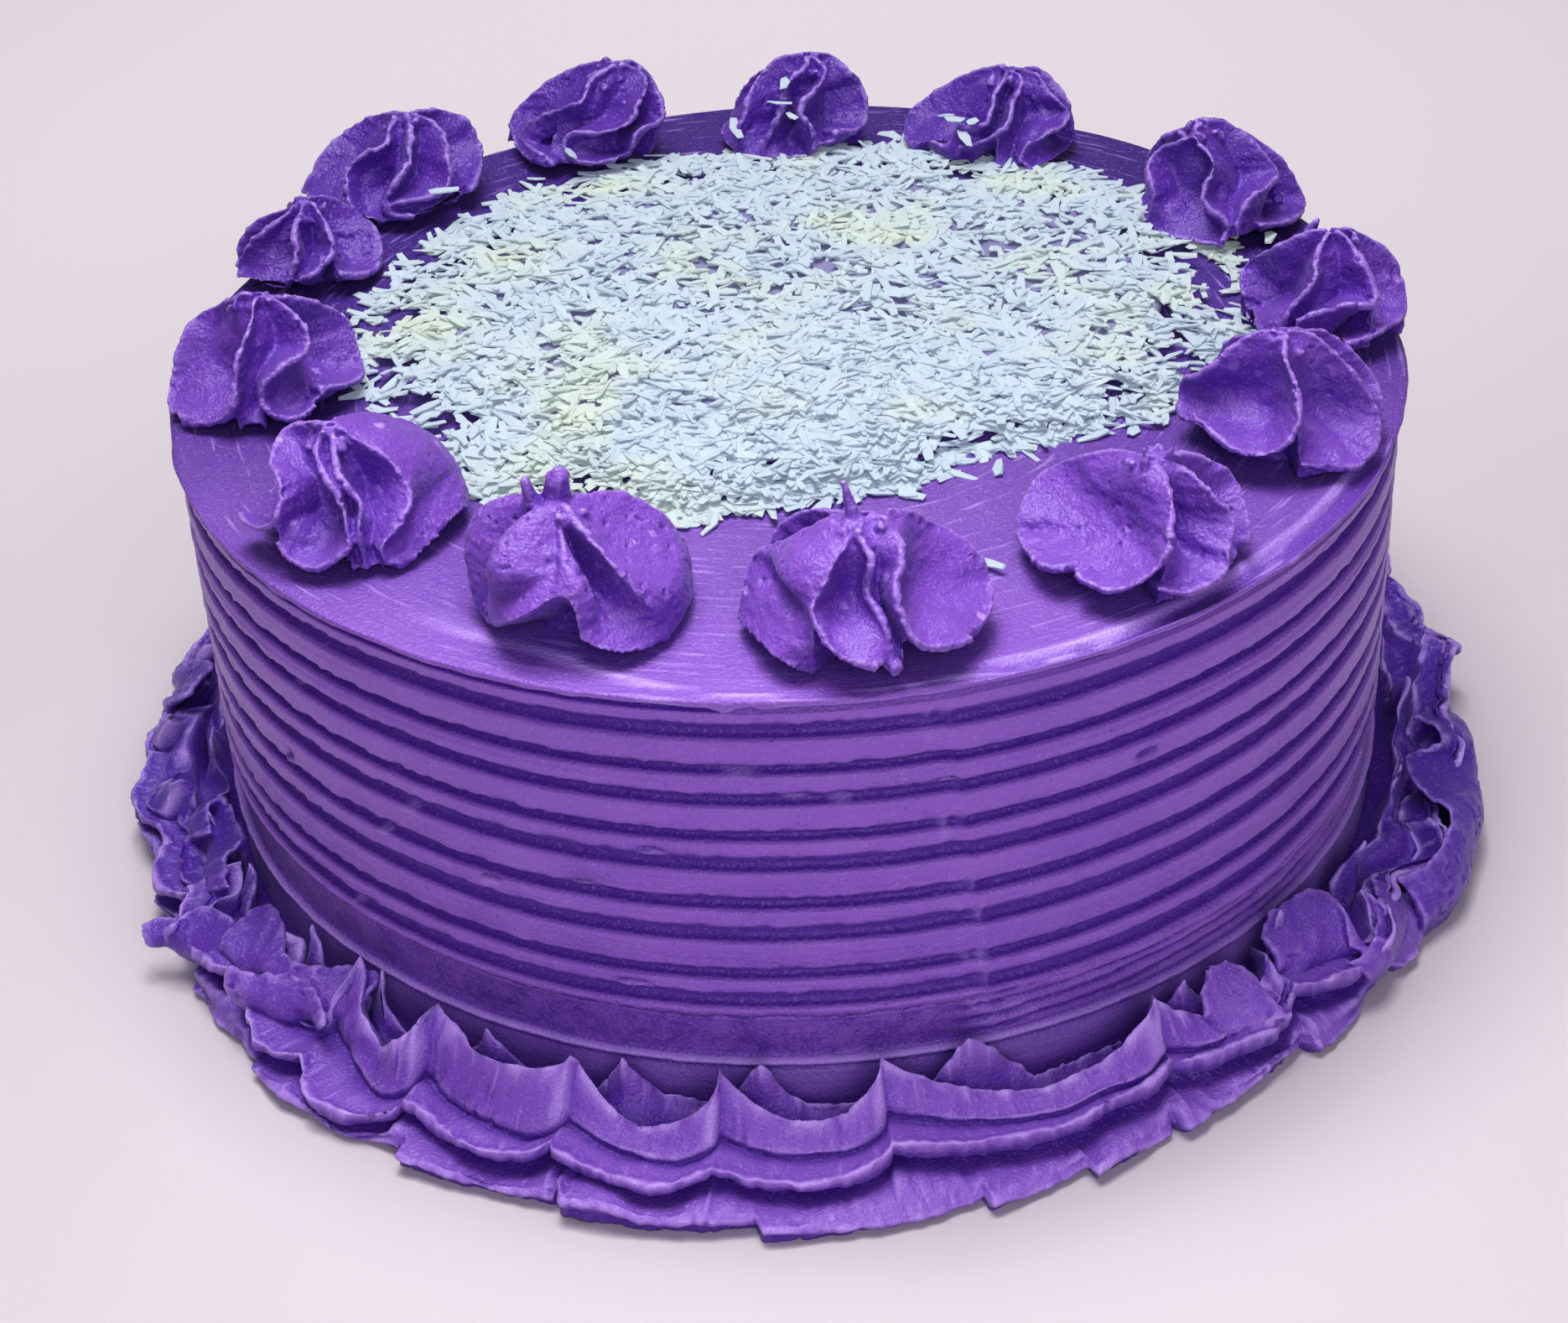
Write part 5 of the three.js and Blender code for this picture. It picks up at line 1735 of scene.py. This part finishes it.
        # Near the edge the cover is thin, and the frosting shows through in patches.
        flat = np.concatenate([spots, 0 * spots[:, :1]], axis=1)
        patchy = self.grain.at(flat, 8.0) + 0.5 * chance.uniform(-1, 1, self.shreds)
        bare = (share > 0.8) & (patchy > 1.0 - 5 * (share - 0.82))
        spots, lift = spots[~bare], lift[~bare]
        points, faces = self._shred_cloud(spots, lift, chance)
        shreds = make_mesh("Coconut_Shreds", points, faces)
        shreds.data.shade_flat()
        shreds.data.materials.append(finish)
        bearing = chance.uniform(-180, 180, self.strays)
        reach = self._edge_reach(bearing) + np.abs(chance.normal(0, 2.6, self.strays))
        fallen = np.array(self.fallen)
        spots = np.concatenate([polar(bearing, reach, 0.0)[:, :2], fallen[:, :2]])
        lift = np.append(np.full(self.strays, 0.45), fallen[:, 2])
        points, faces = self._shred_cloud(spots, lift, chance)
        strays = make_mesh("Coconut_Strays", points, faces)
        strays.data.shade_flat()
        strays.data.materials.append(finish)
        # The core shows only in the gaps between shreds: its grey violet is the frosting's stain and painted
        # shade in the gaps.
        stained_and_shaded = DesiccatedCoconut(
            "desiccated coconut, stained by the frosting", "#7E7B9E", "#8583A1", "#746F9A"
        )
        pieces = [self._core(stained_and_shaded.material()), shreds, strays]
        for piece in pieces:
            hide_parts("coconut_heap")
            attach(piece, "root")
        return pieces


# ---------------------------------------------------------------------------------------------
# The studio
# ---------------------------------------------------------------------------------------------


@dataclass(frozen=True)
class Lamp:
    """A soft square lamp, with sizes in metres."""

    name: str
    place: tuple[float, float, float]
    aim: tuple[float, float, float]
    side: float
    watts: float
    colour: str
    spread: float = 180.0  # the angle in degrees that its grid lets out

    def hang(self) -> None:
        """Hangs the lamp in the scene."""
        data = bpy.data.lights.new(self.name, "AREA")
        data.spread = math.radians(self.spread)
        data.shape, data.size, data.energy = "SQUARE", self.side, self.watts
        data.color = linear(self.colour)[:3]
        lamp = bpy.data.objects.new(self.name, data)
        lamp.location = self.place
        lamp.rotation_euler = (Vector(self.aim) - Vector(self.place)).to_track_quat("-Z", "Y").to_euler()
        bpy.context.scene.collection.objects.link(lamp)


@dataclass
class Studio:
    """Camera, light and the pale card that the cake stands on."""

    eye: tuple[float, float, float] = (0.0, -452.74, 322.54)
    ahead: tuple[float, float, float] = (-0.005377, 0.829731, -0.558137)
    rightward: tuple[float, float, float] = (0.998908, -0.021442, -0.041499)
    lens: float = 70.01
    sensor: float = 36.0
    world_colour: str = "#F4EEF6"
    world_light: float = 0.16
    exposure: float = -0.12
    floor_reach: float = 3000.0  # from the middle to each side
    floor_height: float = -0.1
    lamps: tuple[Lamp, ...] = (
        Lamp("Key", (-0.05, 0.05, 0.8), (0.0, 0.0, 0.05), 0.5, 5.6, "#FFFFFF"),
        Lamp("Beam", (-0.05, 0.12, 0.8), (0.0, -0.15, 0.08), 0.16, 0.06, "#FFFFFF", 34.0),
        Lamp("Front", (0.1, -0.9, 0.55), (0.0, 0.0, 0.05), 0.5, 3.7, "#F4F0FF"),
    )

    def camera(self) -> None:
        """Sets the camera where the photographer stood."""
        data = bpy.data.cameras.new("Camera")
        data.lens, data.sensor_width = self.lens, self.sensor
        data.clip_start, data.clip_end = 0.01, 20.0
        data.dof.use_dof = False
        camera = bpy.data.objects.new("Camera", data)
        ahead, right = Vector(self.ahead).normalized(), Vector(self.rightward).normalized()
        turned = Matrix((right, right.cross(ahead), -ahead)).transposed().to_4x4()
        camera.matrix_world = Matrix.Translation(Vector(self.eye) * MM) @ turned
        bpy.context.scene.collection.objects.link(camera)
        bpy.context.scene.camera = camera

    def build(self) -> None:
        """Builds the camera, the lamps and the floor."""
        self.camera()
        scene = bpy.context.scene
        scene.view_settings.view_transform = "Standard"
        scene.view_settings.look = "Medium High Contrast"
        scene.view_settings.exposure = self.exposure
        world = bpy.data.worlds.new("Studio")
        world.use_nodes = True
        background = world.node_tree.nodes["Background"].inputs
        background["Color"].default_value = linear(self.world_colour)
        background["Strength"].default_value = self.world_light
        scene.world = world
        for lamp in self.lamps:
            lamp.hang()
        corners = polar(np.array([-135, -45, 45, 135]), self.floor_reach * math.sqrt(2), self.floor_height)
        floor = make_mesh("Floor", corners, [[0, 1, 2, 3]])
        floor.data.materials.append(PaleCard().material())


def main() -> None:
    """Builds the cake and its studio."""
    logging.basicConfig(level=logging.INFO)
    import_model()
    Studio().build()
    piped = WhippedFrosting(
        "whipped frosting, piped",
        colour="#8E5CC6",
        deep="#7F4FBA",
        far="#5A3399",
        near=-0.1,
        fall=0.18,
        steep_shade=0.5,
        stroke_depth=0.25,
    )
    ruffled = WhippedFrosting(
        "whipped frosting, piped in a ruffle",
        colour="#9561CC",
        far="#5430A0",
        near=-0.13,
        fall=0.1,
        stroke_depth=0.25,
    )
    pieces = [
        CakeBody().build(),
        *RosetteRing().build(piped.material()),
        *Border().build(ruffled.material()),
        *CoconutHeap().build(),
    ]
    total = 0
    for piece in pieces:
        piece.data.calc_loop_triangles()
        triangles = len(piece.data.loop_triangles)
        total += triangles
        LOG.info("%s: %d triangles", piece.name, triangles)
    LOG.info("all: %d triangles", total)


if __name__ == "__main__":
    main()
